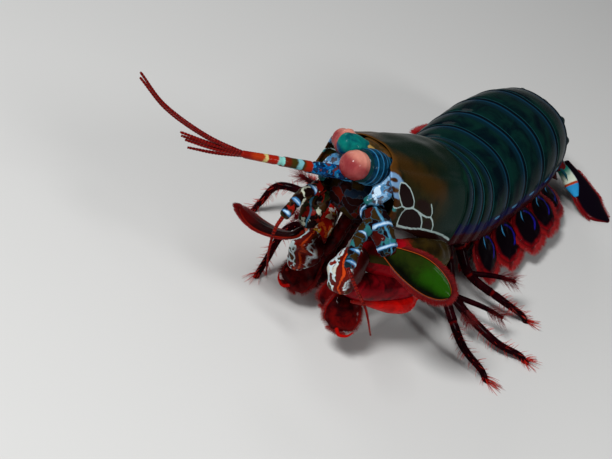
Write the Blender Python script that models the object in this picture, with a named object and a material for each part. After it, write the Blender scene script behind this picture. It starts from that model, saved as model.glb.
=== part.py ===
import bpy
import bmesh
import numpy as np
from mathutils import Vector
from mathutils.bvhtree import BVHTree

# Peacock mantis shrimp, life size, standing as in the photograph.
# All sizes are in millimetres and angles in degrees until to_metres.
# The head points to -Y, the tail to +Y, the left side to +X, the floor is z = 0.
MM = 0.001
GAP = 0.3            # clear space between neighbouring plates
FLOOR_DEPTH = 6.0    # thickness of the block that cuts the feet flat
TRUNK_HEIGHT = 22.7  # middle of the last thoracic somite above the floor

# Joint planes from the last thoracic somite to the tail:
# name, length, yaw, pitch, roll, half width, height
TAILWARD = (
    ("abdomen_1", 10.5, -1.8, -3.9, 4.9, 15.2, 17.5),
    ("abdomen_2", 10.5, -3.7, 0.7, 5.8, 15.8, 18.0),
    ("abdomen_3", 11.0, -4.6, 0.9, 6.4, 16.0, 18.0),
    ("abdomen_4", 11.5, -4.0, -3.2, 6.8, 15.4, 17.4),
    ("abdomen_5", 12.5, -3.0, -11.7, 7.2, 14.2, 16.0),
    ("abdomen_6", 9.0, -2.0, -24.5, 7.6, 11.8, 12.6),
)
# The same from the last thoracic somite to the carapace:
# name, yaw, pitch, length of the somite behind, half width, height
HEADWARD = (
    ("thorax_8", 0.0, -12.8, 0.0, 14.4, 17.0),
    ("thorax_7", -3.3, -16.2, 6.5, 14.0, 16.5),
    ("thorax_6", -6.7, -19.6, 6.0, 13.6, 16.3),
    ("shield_back", -10.0, -23.0, 5.5, 14.0, 17.0),
    ("shield_front", -10.0, -23.0, 32.0, 10.4, 11.8),
)
TRUNK_ROLL = 4.0
SHIELD_LOBES = 3.4    # how far the front corners of the carapace reach forward

# Paths below are (left, tailward, up) in the frame of the carapace front.
EYES = {
    "left": ((3.4, 1.0, 2.4), (2.4, -4.4, 2.0), (1.7, -7.6, 1.5), (1.3, -9.2, 1.2)),
    "right": ((-1.5, -3.6, 3.7), (-3.4, -4.9, 3.35), (-5.0, -5.4, 2.9), (-6.5, -5.7, 2.4)),
}
EYE_STALKS = {"left": (2.8, 3.5, 2.5), "right": (2.0, 2.4, 2.3)}   # radii, root first
ANTENNULES = {
    "left": ((1.6, -2.0, -1.6), (-1.8, -6.5, -2.5), (-5.1, -12.0, -4.2),
             (-7.6, -18.5, -5.4), (-12.4, -25.5, -7.9)),
    "right": ((-2.4, -1.0, -2.6), (-3.5, -2.6, -3.5), (-6.6, -8.0, -5.1),
              (-9.1, -14.6, -6.3), (-13.9, -21.5, -8.8)),
}
FLAGELLA = {
    "left": (((-17.6, -32.0, -8.2), (-24.0, -40.0, -6.9), (-28.1, -46.6, -3.6)),
             ((-16.6, -30.0, -9.2), (-21.2, -34.5, -10.3)),
             ((-16.2, -29.0, -9.9), (-20.6, -32.4, -11.4))),
    "right": (((-19.2, -28.0, -9.4), (-25.4, -36.0, -8.4), (-30.0, -42.6, -5.4)),
              ((-18.2, -26.0, -10.4), (-22.8, -30.5, -11.8)),
              ((-17.6, -25.0, -11.4), (-21.6, -28.0, -13.4))),
}
ANTENNA_BASES = {
    "left": ((4.0, 1.0, -5.5), (8.6, -2.0, -5.8), (12.2, -3.0, -7.2), (15.0, -3.0, -9.0)),
    "right": ((-3.6, 1.6, -5.6), (-4.6, -0.2, -8.8), (-3.9, -1.6, -12.4), (-2.6, -2.4, -15.6)),
}
ANTENNA_STEMS = {
    "left": ((9.0, -3.0, -6.4), (10.6, -8.0, -10.2), (13.4, -11.6, -14.4)),
    "right": ((-4.8, -1.0, -7.4), (-4.2, -9.0, -10.2), (-3.3, -13.0, -14.9)),
}
WHIPS = {
    "left": ((13.8, -12.0, -15.0), (17.6, -12.4, -16.8), (21.7, -12.0, -18.9), (25.2, -11.0, -22.4)),
    "right": ((-3.2, -13.4, -15.5), (-2.8, -14.0, -18.0), (-1.8, -13.2, -22.0), (0.1, -11.0, -27.4)),
}
SCALES = {
    "left": ((14.9, -3.0, -9.3), (18.4, -1.4, -9.35), (21.9, 0.2, -9.4), (25.4, 2.6, -9.8),
             (28.9, 5.0, -10.2)),
    "right": ((-2.5, -2.7, -17.7), (-3.7, -3.5, -19.8), (-6.8, -4.5, -21.5), (-10.7, -5.0, -22.3),
              (-15.3, -5.6, -22.0)),
}
VIEW_NORMAL = np.array([0.24, -0.80, 0.54])   # the way the flat blades face
SCALE_HALF_WIDTH = 3.9
SCALE_HALF_THICK = 0.55
SCALE_NORMALS = {"left": VIEW_NORMAL, "right": np.array([-0.11, 0.25, 0.96])}

# Raptorial limbs: path, half heights, half thicknesses
MERUS = {
    "left": (((14.6, 30.6, -9.6), (15.4, 26.5, -10.4), (14.9, 19.0, -11.4), (12.6, 10.0, -13.0),
              (9.6, 3.0, -14.6)), (2.2, 4.6, 5.4, 4.8, 3.0), (1.6, 3.0, 3.5, 3.2, 2.4)),
    "right": (((-13.6, 30.4, -11.0), (-12.9, 26.0, -12.6), (-10.2, 19.6, -15.2), (-6.6, 13.6, -17.6),
               (-3.8, 9.2, -19.6)), (2.2, 4.6, 5.2, 4.4, 3.0), (1.6, 3.0, 3.4, 3.1, 2.4)),
}
CARPUS = {
    "left": (((9.6, 1.4, -14.6), (9.3, 0.6, -17.0), (9.5, 0.3, -19.4), (10.2, 0.4, -21.8)),
             (2.4, 3.7, 3.8, 2.6), (2.2, 3.4, 3.5, 2.4)),
    "right": (((-3.8, 9.2, -19.6), (-3.5, 8.7, -22.0), (-3.6, 8.6, -24.4), (-4.1, 8.9, -26.6)),
              (2.4, 3.7, 3.8, 2.6), (2.2, 3.3, 3.4, 2.4)),
}
PROPODUS = {
    "left": (((11.0, 0.8, -21.4), (12.4, 4.6, -20.6), (14.6, 10.4, -19.0), (16.8, 17.4, -17.4),
              (17.2, 19.6, -17.2)), (2.0, 3.0, 3.2, 2.6, 1.6), (1.7, 2.3, 2.5, 2.2, 1.4)),
    "right": (((-4.4, 9.8, -26.4), (-5.2, 13.0, -26.0), (-6.8, 18.6, -24.6), (-8.8, 25.0, -22.8),
               (-9.2, 27.0, -22.4)), (2.0, 3.0, 3.2, 2.6, 1.6), (1.7, 2.3, 2.5, 2.2, 1.4)),
}
DACTYL = {
    "left": (((17.8, 21.4, -18.6), (17.4, 19.4, -20.2), (16.4, 15.4, -21.6), (14.6, 9.4, -22.8),
              (13.0, 4.2, -24.0)), (1.6, 3.0, 2.5, 1.3, 0.45), (1.5, 2.7, 2.2, 1.1, 0.4)),
    "right": (((-9.6, 28.4, -24.2), (-9.0, 26.4, -26.0), (-7.8, 22.2, -27.8), (-6.4, 16.4, -29.2),
               (-5.6, 11.2, -30.2)), (1.6, 3.0, 2.6, 1.3, 0.45), (1.5, 2.7, 2.2, 1.1, 0.4)),
}
# Maxillipeds: path and half width of the round last paddle
MAXILLIPEDS = {
    ("3", "left"): (((2.6, 12.0, -8.0), (6.4, 11.0, -15.5), (9.6, 9.6, -22.0),
                     (11.4, 8.0, -27.0), (12.8, 7.4, -31.6)), 3.6),
    ("4", "left"): (((2.6, 16.0, -8.0), (4.6, 15.6, -16.0), (5.4, 15.0, -22.4),
                     (5.8, 14.4, -27.4), (6.2, 14.2, -31.4)), 3.2),
    ("5", "left"): (((2.4, 20.5, -8.0), (3.8, 20.6, -15.0), (4.4, 20.2, -20.4),
                     (4.8, 19.8, -25.0), (5.2, 19.6, -28.4)), 2.8),
    ("3", "right"): (((-2.2, 12.0, -8.0), (-1.6, 12.8, -16.0), (-1.6, 13.2, -23.0),
                      (-3.0, 13.0, -28.4), (-3.6, 12.6, -33.0)), 3.6),
    ("4", "right"): (((-2.6, 16.0, -8.0), (-2.8, 17.0, -15.5), (-2.4, 17.8, -21.6),
                      (-2.2, 18.2, -26.4), (-2.0, 18.4, -30.6)), 3.2),
    ("5", "right"): (((-2.4, 20.5, -8.0), (-3.2, 21.6, -14.6), (-2.9, 22.6, -19.8),
                      (-2.7, 23.0, -24.2), (-2.6, 23.2, -27.6)), 2.8),
}
# Walking legs: joints in the frame of their somite, then the foot on the floor (x, y)
LEGS = {
    ("1", "left"): ("thorax_6", ((7.0, -3.0, -6.0), (13.0, -3.4, -12.0), (19.4, -4.0, -17.6),
                                 (29.0, -6.0, -23.4)), (33.5, -30.2), (26.5, 1.0, -20.0)),
    ("2", "left"): ("thorax_7", ((7.0, -3.0, -6.0), (13.0, -3.0, -13.0), (19.6, -3.2, -19.4),
                                 (32.0, -5.0, -21.4)), (38.4, -15.6), (30.5, -1.0, -17.0)),
    ("3", "left"): ("thorax_8", ((7.0, -3.0, -6.0), (12.4, -3.0, -11.4), (17.6, -3.0, -15.4),
                                 (26.6, -2.2, -16.4)), (32.8, -0.5), (27.0, 0.0, -11.4)),
    ("1", "right"): ("thorax_6", ((-7.0, -3.0, -6.0), (-8.0, -3.6, -14.0), (-10.4, -8.4, -20.8),
                                  (-15.4, -19.6, -23.0)), (-22.4, -41.6), (-19.0, -10.4, -23.0)),
    ("2", "right"): ("thorax_7", ((-7.0, -3.0, -6.0), (-13.4, -4.0, -12.0), (-20.0, -5.4, -17.6),
                                  (-30.0, -8.4, -20.6)), (-36.4, -19.0), (-29.5, -1.0, -18.0)),
    ("3", "right"): ("thorax_8", ((-7.0, -3.0, -6.0), (-12.6, -2.4, -11.4), (-18.0, -2.0, -15.4),
                                  (-27.0, 0.0, -19.0)), (-33.0, 4.6), (-27.0, 2.6, -14.4)),
}
# Swimmerets, left side: root, a point below the side plate, outer tip, inner tip, half width
PLEOPODS = {
    "1": ((8.0, -5.2, -3.4), (14.4, -4.4, -11.4), (20.6, -3.4, -16.6), (13.4, -3.0, -18.0), 5.2),
    "2": ((8.4, -5.2, -3.6), (15.4, -4.4, -11.8), (22.4, -3.4, -16.2), (14.6, -3.0, -18.0), 5.3),
    "3": ((8.6, -5.4, -3.6), (16.4, -4.4, -11.6), (23.6, -3.4, -14.8), (15.6, -3.0, -17.4), 5.4),
    "4": ((8.6, -5.6, -3.4), (16.2, -4.6, -11.2), (23.2, -3.6, -13.8), (15.4, -3.0, -16.6), 5.2),
    "5": ((8.0, -6.0, -3.2), (14.6, -5.0, -10.4), (21.0, -4.2, -12.8), (13.8, -3.6, -15.0), 4.8),
}
RIGHT_PLEOPOD_SPREAD = 0.86   # the right swimmerets lie closer under the body
# Tail fan: joints in the frame of the sixth abdominal somite, then the tip on the floor
UROPODS = {
    "left": {"stem": ((6.0, -4.0, -2.0), (10.4, 0.6, -3.2), (14.2, 4.6, -4.4)),
             "outer": ((12.6, 2.8, -3.6), (17.0, 5.6, -4.6), (19.6, 6.8, -5.4)), "foot": (34.4, 66.6),
             "inner": ((11.6, 3.2, -4.2), (15.0, 9.6, -5.2), (19.4, 17.6, -6.4)),
             "fork": ((10.6, 2.6, -5.4), (12.0, 8.0, -7.0), (13.2, 12.4, -7.8)),
             "normal": (0.35, -0.35, 0.85)},
    "right": {"stem": ((-6.0, -4.0, -2.0), (-10.0, 0.6, -4.0), (-13.4, 4.2, -6.6)),
              "outer": ((-12.2, 2.8, -5.6), (-16.2, 5.4, -8.6), (-18.4, 6.6, -10.4)), "foot": (-19.6, 73.4),
              "inner": ((-11.4, 3.2, -5.8), (-14.6, 9.4, -7.8), (-18.0, 16.8, -9.6)),
              "fork": ((-10.6, 2.6, -6.4), (-12.2, 8.0, -8.2), (-13.4, 12.2, -9.4)),
              "normal": (-0.25, -0.3, 0.9)},
}
TELSON_LENGTH = 16.5
TELSON_HALF_WIDTH = 11.2
TELSON_TURN = (-2.0, -34.0, 7.6)   # yaw, pitch and roll of the tail plate

COLOURS = {
    "carapace": (0.16, 0.15, 0.05), "head": (0.30, 0.10, 0.05), "stalk": (0.04, 0.25, 0.28),
    "cornea": (0.75, 0.36, 0.32), "antennule": (0.10, 0.32, 0.45), "scale": (0.12, 0.22, 0.06),
    "whip": (0.35, 0.03, 0.02), "merus": (0.20, 0.16, 0.05), "carpus": (0.60, 0.40, 0.28),
    "propodus": (0.40, 0.03, 0.02), "dactyl": (0.80, 0.06, 0.03), "maxilliped": (0.45, 0.04, 0.03),
    "trunk": (0.25, 0.10, 0.05), "somite": (0.03, 0.16, 0.15), "leg": (0.22, 0.03, 0.03),
    "pleopod": (0.45, 0.05, 0.06), "tail": (0.03, 0.12, 0.16),
}

for old in list(bpy.data.objects):
    bpy.data.objects.remove(old)


def direction_frame(yaw, pitch, roll):
    y, p, r = np.radians((yaw, pitch, roll))
    tail = np.array([-np.sin(y) * np.cos(p), np.cos(y) * np.cos(p), np.sin(p)])
    level = np.array([np.cos(y), np.sin(y), 0.0])
    upright = np.cross(level, tail)
    left = np.cos(r) * level - np.sin(r) * upright
    up = np.sin(r) * level + np.cos(r) * upright
    return tail, left, up


def joint_frames():
    frames = {}
    centre = np.array([0.0, 0.0, TRUNK_HEIGHT])
    for name, yaw, pitch, length, half_width, height in HEADWARD:
        tail, left, up = direction_frame(yaw, pitch, TRUNK_ROLL)
        centre = centre - tail * length
        frames[name] = (centre, tail, left, up, half_width, height)
    centre = frames["thorax_8"][0]
    for name, length, yaw, pitch, roll, half_width, height in TAILWARD:
        tail, left, up = direction_frame(yaw, pitch, roll)
        centre = centre + tail * length
        frames[name] = (centre, tail, left, up, half_width, height)
    return frames


FRAMES = joint_frames()


def place(frame_name, point):
    centre, tail, left, up = FRAMES[frame_name][:4]
    return centre + point[0] * left + point[1] * tail + point[2] * up


def head(points):
    return [place("shield_front", p) for p in points]


def material(key):
    name = "shrimp_" + key
    mat = bpy.data.materials.get(name)
    if mat is None:
        mat = bpy.data.materials.new(name)
        mat.use_nodes = True
        shader = mat.node_tree.nodes["Principled BSDF"]
        shader.inputs["Base Color"].default_value = (*COLOURS[key], 1.0)
        shader.inputs["Roughness"].default_value = 0.35
    return mat


def solid(name, points, faces, key):
    mesh = bpy.data.meshes.new(name)
    mesh.from_pydata([tuple(p) for p in points], [], faces)
    bm = bmesh.new()
    bm.from_mesh(mesh)
    bmesh.ops.recalc_face_normals(bm, faces=bm.faces)
    if bm.calc_volume(signed=True) < 0:
        bmesh.ops.reverse_faces(bm, faces=bm.faces)
    bm.to_mesh(mesh)
    bm.free()
    obj = bpy.data.objects.new(name, mesh)
    bpy.context.scene.collection.objects.link(obj)
    if key:
        mesh.materials.append(material(key))
    return obj


def loft(name, rings, key):
    count = len(rings[0])
    points = np.concatenate(rings)
    faces = []
    for r in range(len(rings) - 1):
        for i in range(count):
            j = (i + 1) % count
            faces.append((r * count + i, r * count + j, (r + 1) * count + j, (r + 1) * count + i))
    faces.append(tuple(range(count)))
    last = (len(rings) - 1) * count
    faces.append(tuple(range(last + count - 1, last - 1, -1)))
    return solid(name, points, faces, key)


def triangulated(obj):
    # Bent faces are split here, so that cuts and export read the same surface
    bm = bmesh.new()
    bm.from_mesh(obj.data)
    bmesh.ops.triangulate(bm, faces=bm.faces)
    bm.to_mesh(obj.data)
    bm.free()
    return obj


def smooth_path(points, values, steps):
    # Catmull-Rom through the joints, with the radii blended the same way
    pts = np.array(points, float)
    vals = np.array(values, float)
    pts = np.vstack([2 * pts[0] - pts[1], pts, 2 * pts[-1] - pts[-2]])
    vals = np.vstack([vals[0], vals, vals[-1]])
    path, radii = [], []
    for k in range(1, len(pts) - 2):
        for s in range(steps):
            t = s / steps
            weights = 0.5 * np.array([-t + 2 * t * t - t ** 3, 2 - 5 * t * t + 3 * t ** 3,
                                      t + 4 * t * t - 3 * t ** 3, -t * t + t ** 3])
            path.append(weights @ pts[k - 1:k + 3])
            radii.append(vals[k] * (1 - t) + vals[k + 1] * t)
    path.append(pts[-2])
    radii.append(vals[-2])
    return np.array(path), np.array(radii)


def tube(name, points, wide, thin, flat_normal, key, count=10, steps=2, tips=(0.55, 0.4)):
    # Oval tube: wide lies across the path in the blade, thin along flat_normal
    path, radii = smooth_path(points, np.column_stack([wide, thin]), steps)
    tangents = np.gradient(path, axis=0)
    tangents /= np.linalg.norm(tangents, axis=1)[:, None]
    normal = np.array(flat_normal, float)
    side = np.cross(normal, tangents)
    side /= np.linalg.norm(side, axis=1)[:, None]
    lift = np.cross(tangents, side)
    angles = np.arange(count) * 2 * np.pi / count
    rings = []
    for k, centre in enumerate(path):
        ring = (centre + radii[k, 0] * np.cos(angles)[:, None] * side[k]
                + radii[k, 1] * np.sin(angles)[:, None] * lift[k])
        rings.append(ring)
    # A smaller ring just beyond each end rounds the tip, the root end first
    for end, scale in ((0, tips[0]), (-1, tips[1])):
        step = radii[end].min() * 0.6 * (tangents[end] if end else -tangents[end])
        ring = path[end] + (rings[end] - path[end]) * scale + step
        if end:
            rings.append(ring)
        else:
            rings.insert(0, ring)
    return loft(name, rings, key)


def boolean_mesh(obj, other, operation, solver):
    mod = obj.modifiers.new("cut", "BOOLEAN")
    mod.operation = operation
    mod.solver = solver
    mod.object = other
    bpy.context.view_layer.update()
    evaluated = obj.evaluated_get(bpy.context.evaluated_depsgraph_get())
    mesh = bpy.data.meshes.new_from_object(evaluated)
    obj.modifiers.clear()
    return mesh


def closed_volume(mesh):
    # Zero for a surface that isn't closed
    bm = bmesh.new()
    bm.from_mesh(mesh)
    closed = bool(bm.faces) and all(edge.is_manifold for edge in bm.edges)
    volume = bm.calc_volume() if closed else 0.0
    bm.free()
    return volume


def use_boolean(obj, other, operation):
    other.hide_render = True
    other.display_type = "WIRE"
    mesh = boolean_mesh(obj, other, operation, "EXACT")
    # EXACT can drop most of a piece here, and then MANIFOLD takes over
    if closed_volume(mesh) < 0.5 * closed_volume(obj.data):
        mesh = boolean_mesh(obj, other, operation, "MANIFOLD")
    old = obj.data
    obj.data = mesh
    bpy.data.meshes.remove(old)
    mesh.name = obj.name
    tidy_mesh(obj)


def tidy_mesh(obj):
    # Close points are merged as far as the surface stays closed
    for distance in (0.05, 0.02, 0.005, 0.0):
        bm = bmesh.new()
        bm.from_mesh(obj.data)
        if distance:
            bmesh.ops.remove_doubles(bm, verts=bm.verts, dist=distance)
            bmesh.ops.dissolve_degenerate(bm, edges=bm.edges, dist=distance)
        bmesh.ops.triangulate(bm, faces=[f for f in bm.faces if len(f.verts) > 4])
        keep_largest_body(bm)
        closed = all(edge.is_manifold for edge in bm.edges)
        for face in bm.faces:
            face.material_index = 0
        if closed or not distance:
            bm.to_mesh(obj.data)
            bm.free()
            return
        bm.free()


def keep_largest_body(bm):
    seen = set()
    bodies = []
    for start in bm.faces:
        if start in seen:
            continue
        body, queue = [], [start]
        seen.add(start)
        while queue:
            face = queue.pop()
            body.append(face)
            for edge in face.edges:
                for other in edge.link_faces:
                    if other not in seen:
                        seen.add(other)
                        queue.append(other)
        bodies.append(body)
    if len(bodies) < 2:
        return
    bodies.sort(key=lambda b: sum(f.calc_area() for f in b))
    for body in bodies[:-1]:
        bmesh.ops.delete(bm, geom=body, context="FACES")
    loose = [v for v in bm.verts if not v.link_faces]
    bmesh.ops.delete(bm, geom=loose, context="VERTS")


def remove(obj):
    mesh = obj.data
    bpy.data.objects.remove(obj)
    bpy.data.meshes.remove(mesh)


def union(first, *others):
    for other in others:
        use_boolean(first, other, "UNION")
        remove(other)
    return first


def grown(obj, distance):
    copy = bpy.data.objects.new("grown", obj.data.copy())
    bpy.context.scene.collection.objects.link(copy)
    bm = bmesh.new()
    bm.from_mesh(copy.data)
    bm.normal_update()
    moves = [v.normal * distance * min(v.calc_shell_factor(), 1.4) for v in bm.verts]
    for vert, move in zip(bm.verts, moves):
        vert.co += move
    bm.to_mesh(copy.data)
    bm.free()
    return copy


def surface_tree(obj):
    bm = bmesh.new()
    bm.from_mesh(obj.data)
    tree = BVHTree.FromBMesh(bm)
    bm.free()
    return tree


def boxes_meet(a, b, margin):
    pa = np.array([v.co for v in a.data.vertices])
    pb = np.array([v.co for v in b.data.vertices])
    return bool(np.all(pa.min(0) - margin < pb.max(0)) and np.all(pb.min(0) - margin < pa.max(0)))


def clear_neighbours(parts):
    # Each later part is cut back from every earlier part it touches
    for k, low in enumerate(parts):
        for high in parts[:k]:
            if not boxes_meet(low, high, 2 * GAP):
                continue
            cutter = grown(high, GAP)
            if surface_tree(low).overlap(surface_tree(cutter)):
                use_boolean(low, cutter, "DIFFERENCE")
            remove(cutter)


def body_ring(frame_name, shift, scale, belly, power=0.85, bumps=()):
    # Domed back with bumps at given angles, hanging side plates and a hollow underside
    centre, tail, left, up, half_width, height = FRAMES[frame_name]
    angles = np.linspace(0, np.pi, 21)
    across = np.sign(np.cos(angles)) * np.abs(np.cos(angles)) ** power
    rise = np.sin(angles).clip(0) ** power
    bump = np.zeros_like(angles)
    for where, amount in bumps:
        bump += amount * np.exp(-((np.degrees(angles) - where) / 5.0) ** 2)
    grow = 1 + bump
    back = np.column_stack([half_width * across * grow, height * (rise * grow - 0.45)])
    low = np.array([-0.88, -0.76, -0.40, 0.0, 0.40, 0.76, 0.88])
    depth = np.array([-0.47, -0.5 * (0.45 + belly), -belly - 0.01, -belly, -belly - 0.01,
                      -0.5 * (0.45 + belly), -0.47])
    under = np.column_stack([half_width * low, height * depth])
    outline = np.vstack([back, under]) * scale
    return centre + tail * shift + outline[:, 0:1] * left + outline[:, 1:2] * up


def blend(ring_a, ring_b, t):
    return ring_a * (1 - t) + ring_b * t


def somite(name, front, belly, bumps=()):
    # Narrow in front, where it slides under the plate before it
    half = GAP / 2
    first = body_ring(front, half, 0.93, belly, bumps=bumps)
    last = body_ring(name, -half, 1.0, belly, bumps=bumps)
    front_full = body_ring(front, half, 1.0, belly, bumps=bumps)
    rings = [first, blend(front_full, last, 0.12) * 0.5 + blend(first, last, 0.12) * 0.5,
             blend(front_full, last, 0.4), blend(front_full, last, 0.86), last]
    return loft(name, rings, "somite")


def carapace():
    half = GAP / 2
    grooves = ((58, -0.035), (122, -0.035), (90, 0.012))
    front = body_ring("shield_front", 0.9, 1.0, 0.24, bumps=grooves)
    rear = body_ring("shield_back", -half, 1.0, 0.30, bumps=grooves)
    nose = body_ring("shield_front", half, 0.94, 0.24, bumps=grooves)
    # The front corners reach forward beside the eyes
    around = np.linspace(0, 180, 21)
    lobes = SHIELD_LOBES * (np.exp(-((around - 42) / 24) ** 2) + np.exp(-((around - 138) / 24) ** 2))
    for ring in (front, nose):
        ring[:21] -= lobes[:, None] * FRAMES["shield_front"][1]
    rear_edge = body_ring("shield_back", -1.4, 1.0, 0.30, bumps=grooves)
    rings = [nose, front]
    for t in (0.2, 0.45, 0.7, 0.9):
        ring = blend(front, rear_edge, t)
        centre = ring.mean(axis=0)
        rings.append(centre + (ring - centre) * (1 + 0.05 * np.sin(np.pi * t)))
    rings += [rear_edge, rear]
    return triangulated(loft("carapace", rings, "carapace"))


def oval_ring(frame_name, middle, half_width, half_height, count=16, power=0.8):
    centre, tail, left, up = FRAMES[frame_name][:4]
    angles = np.arange(count) * 2 * np.pi / count
    across = np.sign(np.cos(angles)) * np.abs(np.cos(angles)) ** power
    rise = np.sign(np.sin(angles)) * np.abs(np.sin(angles)) ** power
    start = centre + middle[0] * left + middle[1] * tail + middle[2] * up
    return start + half_width * across[:, None] * left + half_height * rise[:, None] * up


def head_block():
    sizes = ((-4.2, -1.6, 2.4, 1.4), (-3.4, -1.9, 3.6, 2.6), (-1.0, -2.9, 5.2, 4.6),
             (3.0, -4.6, 6.8, 6.0), (8.0, -5.4, 7.4, 5.6), (11.0, -5.6, 7.2, 5.0))
    rings = [oval_ring("shield_front", (0, d, u), w, h) for d, u, w, h in sizes]
    return loft("head", rings, "head")


def trunk_block():
    sizes = ((11.3, -5.6, 7.2, 5.0), (17.0, -5.8, 7.6, 4.8), (24.0, -6.0, 8.4, 4.6),
             (31.6, -6.0, 8.8, 4.4))
    rings = [oval_ring("shield_front", (0, d, u), w, h) for d, u, w, h in sizes]
    return loft("thorax_5", rings, "trunk")


def rostral_plate():
    # Rounded trapezoid plate over the eye bases
    rings = []
    for d, u, w in ((-0.2, 5.6, 3.6), (-1.6, 5.5, 3.4), (-3.0, 5.3, 2.7), (-4.2, 5.1, 1.6),
                    (-4.8, 5.0, 0.6)):
        rings.append(oval_ring("shield_front", (0, d, u), w, 0.6, count=10, power=1.0))
    return loft("rostral_plate", rings, "carapace")


def telson():
    # Domed plate with keels, its rear edge cut into blunt teeth beside a narrow cleft
    centre, _, left, _ = FRAMES["abdomen_6"][:4]
    tail = direction_frame(*TELSON_TURN)[0]
    up = np.cross(left, tail)
    up /= np.linalg.norm(up)
    across = np.linspace(-1, 1, 29)
    teeth = sum(a * np.clip(1 - np.abs(np.abs(across) - c) / w, 0, 1)
                for c, a, w in ((0.215, 0.17, 0.15), (0.57, 0.14, 0.15), (0.93, 0.09, 0.15)))
    rear = 0.93 - 0.40 * np.abs(across) ** 2.4 + teeth
    keels = sum(a * np.exp(-((np.abs(across) - c) / 0.06) ** 2)
                for c, a in ((0.0, 1.0), (0.30, 0.7), (0.58, 0.6)))
    top, bottom = [], []
    for t in np.linspace(0, 1, 6):
        width = TELSON_HALF_WIDTH * (0.96 + 0.12 * np.sin(np.pi * t) - 0.12 * t)
        reach = TELSON_LENGTH * t * rear + GAP
        dome = (1.0 + 5.0 * (1 - t) ** 1.5) * np.sqrt(1 - 0.93 * across ** 2)
        crown = dome + keels * np.sin(np.pi * (0.06 + 0.84 * t)) - 0.6
        base = centre + across[:, None] * width * left + reach[:, None] * tail
        top.append(base + crown[:, None] * up)
        under = -1.5 - 0.7 * (1 - across ** 2) * (1 - t)
        bottom.append(base + under[:, None] * up)
    rings = [np.vstack([t, b[::-1]]) for t, b in zip(top, bottom)]
    return loft("telson", rings, "tail")


def limb(name, spec, key, count=10):
    path, high, thick = spec
    return tube(name, head(path), thick, high, FRAMES["shield_front"][3], key, count=count)


def maxilliped(number, side):
    path, half_width = MAXILLIPEDS[(number, side)]
    points = head(path)
    arm = tube("maxilliped_%s_%s" % (number, side), points[:4], (1.3, 1.4, 1.0, 0.8),
               (1.3, 1.4, 1.0, 0.8), VIEW_NORMAL, "maxilliped", count=8, steps=1)
    start = points[2] * 0.85 + points[3] * 0.15
    blade = tube("blade", (start, points[3], points[4] * 0.75 + points[3] * 0.25, points[4]),
                 (half_width * 0.4, half_width, half_width * 0.95, half_width * 0.45),
                 (0.8, 1.1, 1.0, 0.6), VIEW_NORMAL, "maxilliped", count=10)
    return union(arm, blade)


def leg(number, side):
    somite_name, joints, foot, branch = LEGS[(number, side)]
    points = [place(somite_name, p) for p in joints]
    foot_point = np.array([foot[0], foot[1], -0.6])
    above = points[-1] * 0.25 + foot_point * 0.75 + np.array([0, 0, 1.0])
    radii = (1.6, 1.35, 1.2, 0.95, 0.75, 0.7)
    main = tube("leg_%s_%s" % (number, side), points + [above, foot_point], radii, radii,
                (0.1, 1.0, 0.2), "leg", count=7, tips=(0.6, 0.9))
    end = place(somite_name, branch)
    middle = points[2] * 0.45 + end * 0.55 + np.array([0, 0, 0.8])
    start = points[2] * 0.9 + points[1] * 0.1
    side_branch = tube("branch", (start, middle, end), (0.7, 0.6, 0.4), (0.7, 0.6, 0.4),
                       (0.1, 1.0, 0.2), "leg", count=6)
    return union(main, side_branch)


def pleopod(number, side):
    root, bend, outer, inner, half_width = PLEOPODS[number]
    name = "abdomen_" + number
    mirror = np.array([1.0 if side == "left" else -RIGHT_PLEOPOD_SPREAD, 1.0, 1.0])
    start = place(name, np.array(root) * mirror)
    lobes = []
    for tip, size, label in ((outer, 1.0, "pleopod_%s_%s" % (number, side)), (inner, 0.85, "lobe")):
        inset = np.array([0.0 if size == 1.0 else -2.4, 0.0, 0.0])
        middle = place(name, (np.array(bend) + inset) * mirror)
        end = place(name, np.array(tip) * mirror)
        points = (start, start * 0.4 + middle * 0.6, middle, middle * 0.45 + end * 0.55, end)
        wide = np.array([1.4, 2.0, half_width * 0.8, half_width, half_width * 0.5]) * size
        blade_normal = np.cross(FRAMES[name][1], end - start)
        lobes.append(tube(label, points, wide, (1.2, 1.2, 1.0, 0.9, 0.5), blade_normal,
                          "pleopod", steps=1))
    return union(*lobes)


def uropod(side):
    spec = UROPODS[side]
    at = [place("abdomen_6", p) for p in spec["stem"]]
    up = FRAMES["abdomen_6"][3]
    stem = tube("uropod_" + side, at, (2.6, 2.6, 2.2), (2.2, 2.2, 1.8), up, "tail", count=8)
    foot = np.array([*spec["foot"], -0.25])
    outer = [place("abdomen_6", p) for p in spec["outer"]]
    near = outer[2] * 0.45 + foot * 0.55
    blade = tube("outer", (outer[0], outer[1], outer[2], near, foot), (2.0, 2.9, 3.0, 4.4, 1.6),
                 (1.6, 1.5, 1.1, 0.9, 0.7), spec["normal"], "tail", count=8)
    inner = [place("abdomen_6", p) for p in spec["inner"]]
    lobe = tube("inner", inner, (1.5, 3.0, 1.4), (1.2, 0.9, 0.5), up, "tail", count=8)
    fork = [place("abdomen_6", p) for p in spec["fork"]]
    spine = tube("fork", fork, (1.5, 1.1, 0.35), (1.2, 0.9, 0.35), up, "tail", count=7)
    # A row of movable spines along the outer edge of the first blade segment
    pieces = [blade, lobe, spine]
    edge = (outer[1] - outer[0]) / np.linalg.norm(outer[1] - outer[0])
    outward = np.cross(up, edge)
    if (outward @ FRAMES["abdomen_6"][2] > 0) != (side == "left"):
        outward = -outward
    for k in range(5):
        back = 0.7 * (1 - k / 4)
        base = outer[0] * back + outer[1] * (1 - back) + outward * 1.6
        tip = base + outward * 1.7 + edge * 1.5
        pieces.append(tube("spine", (base, tip), (0.5, 0.3), (0.5, 0.3), up, "tail", count=5, steps=1))
    return union(stem, *pieces)


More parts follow.
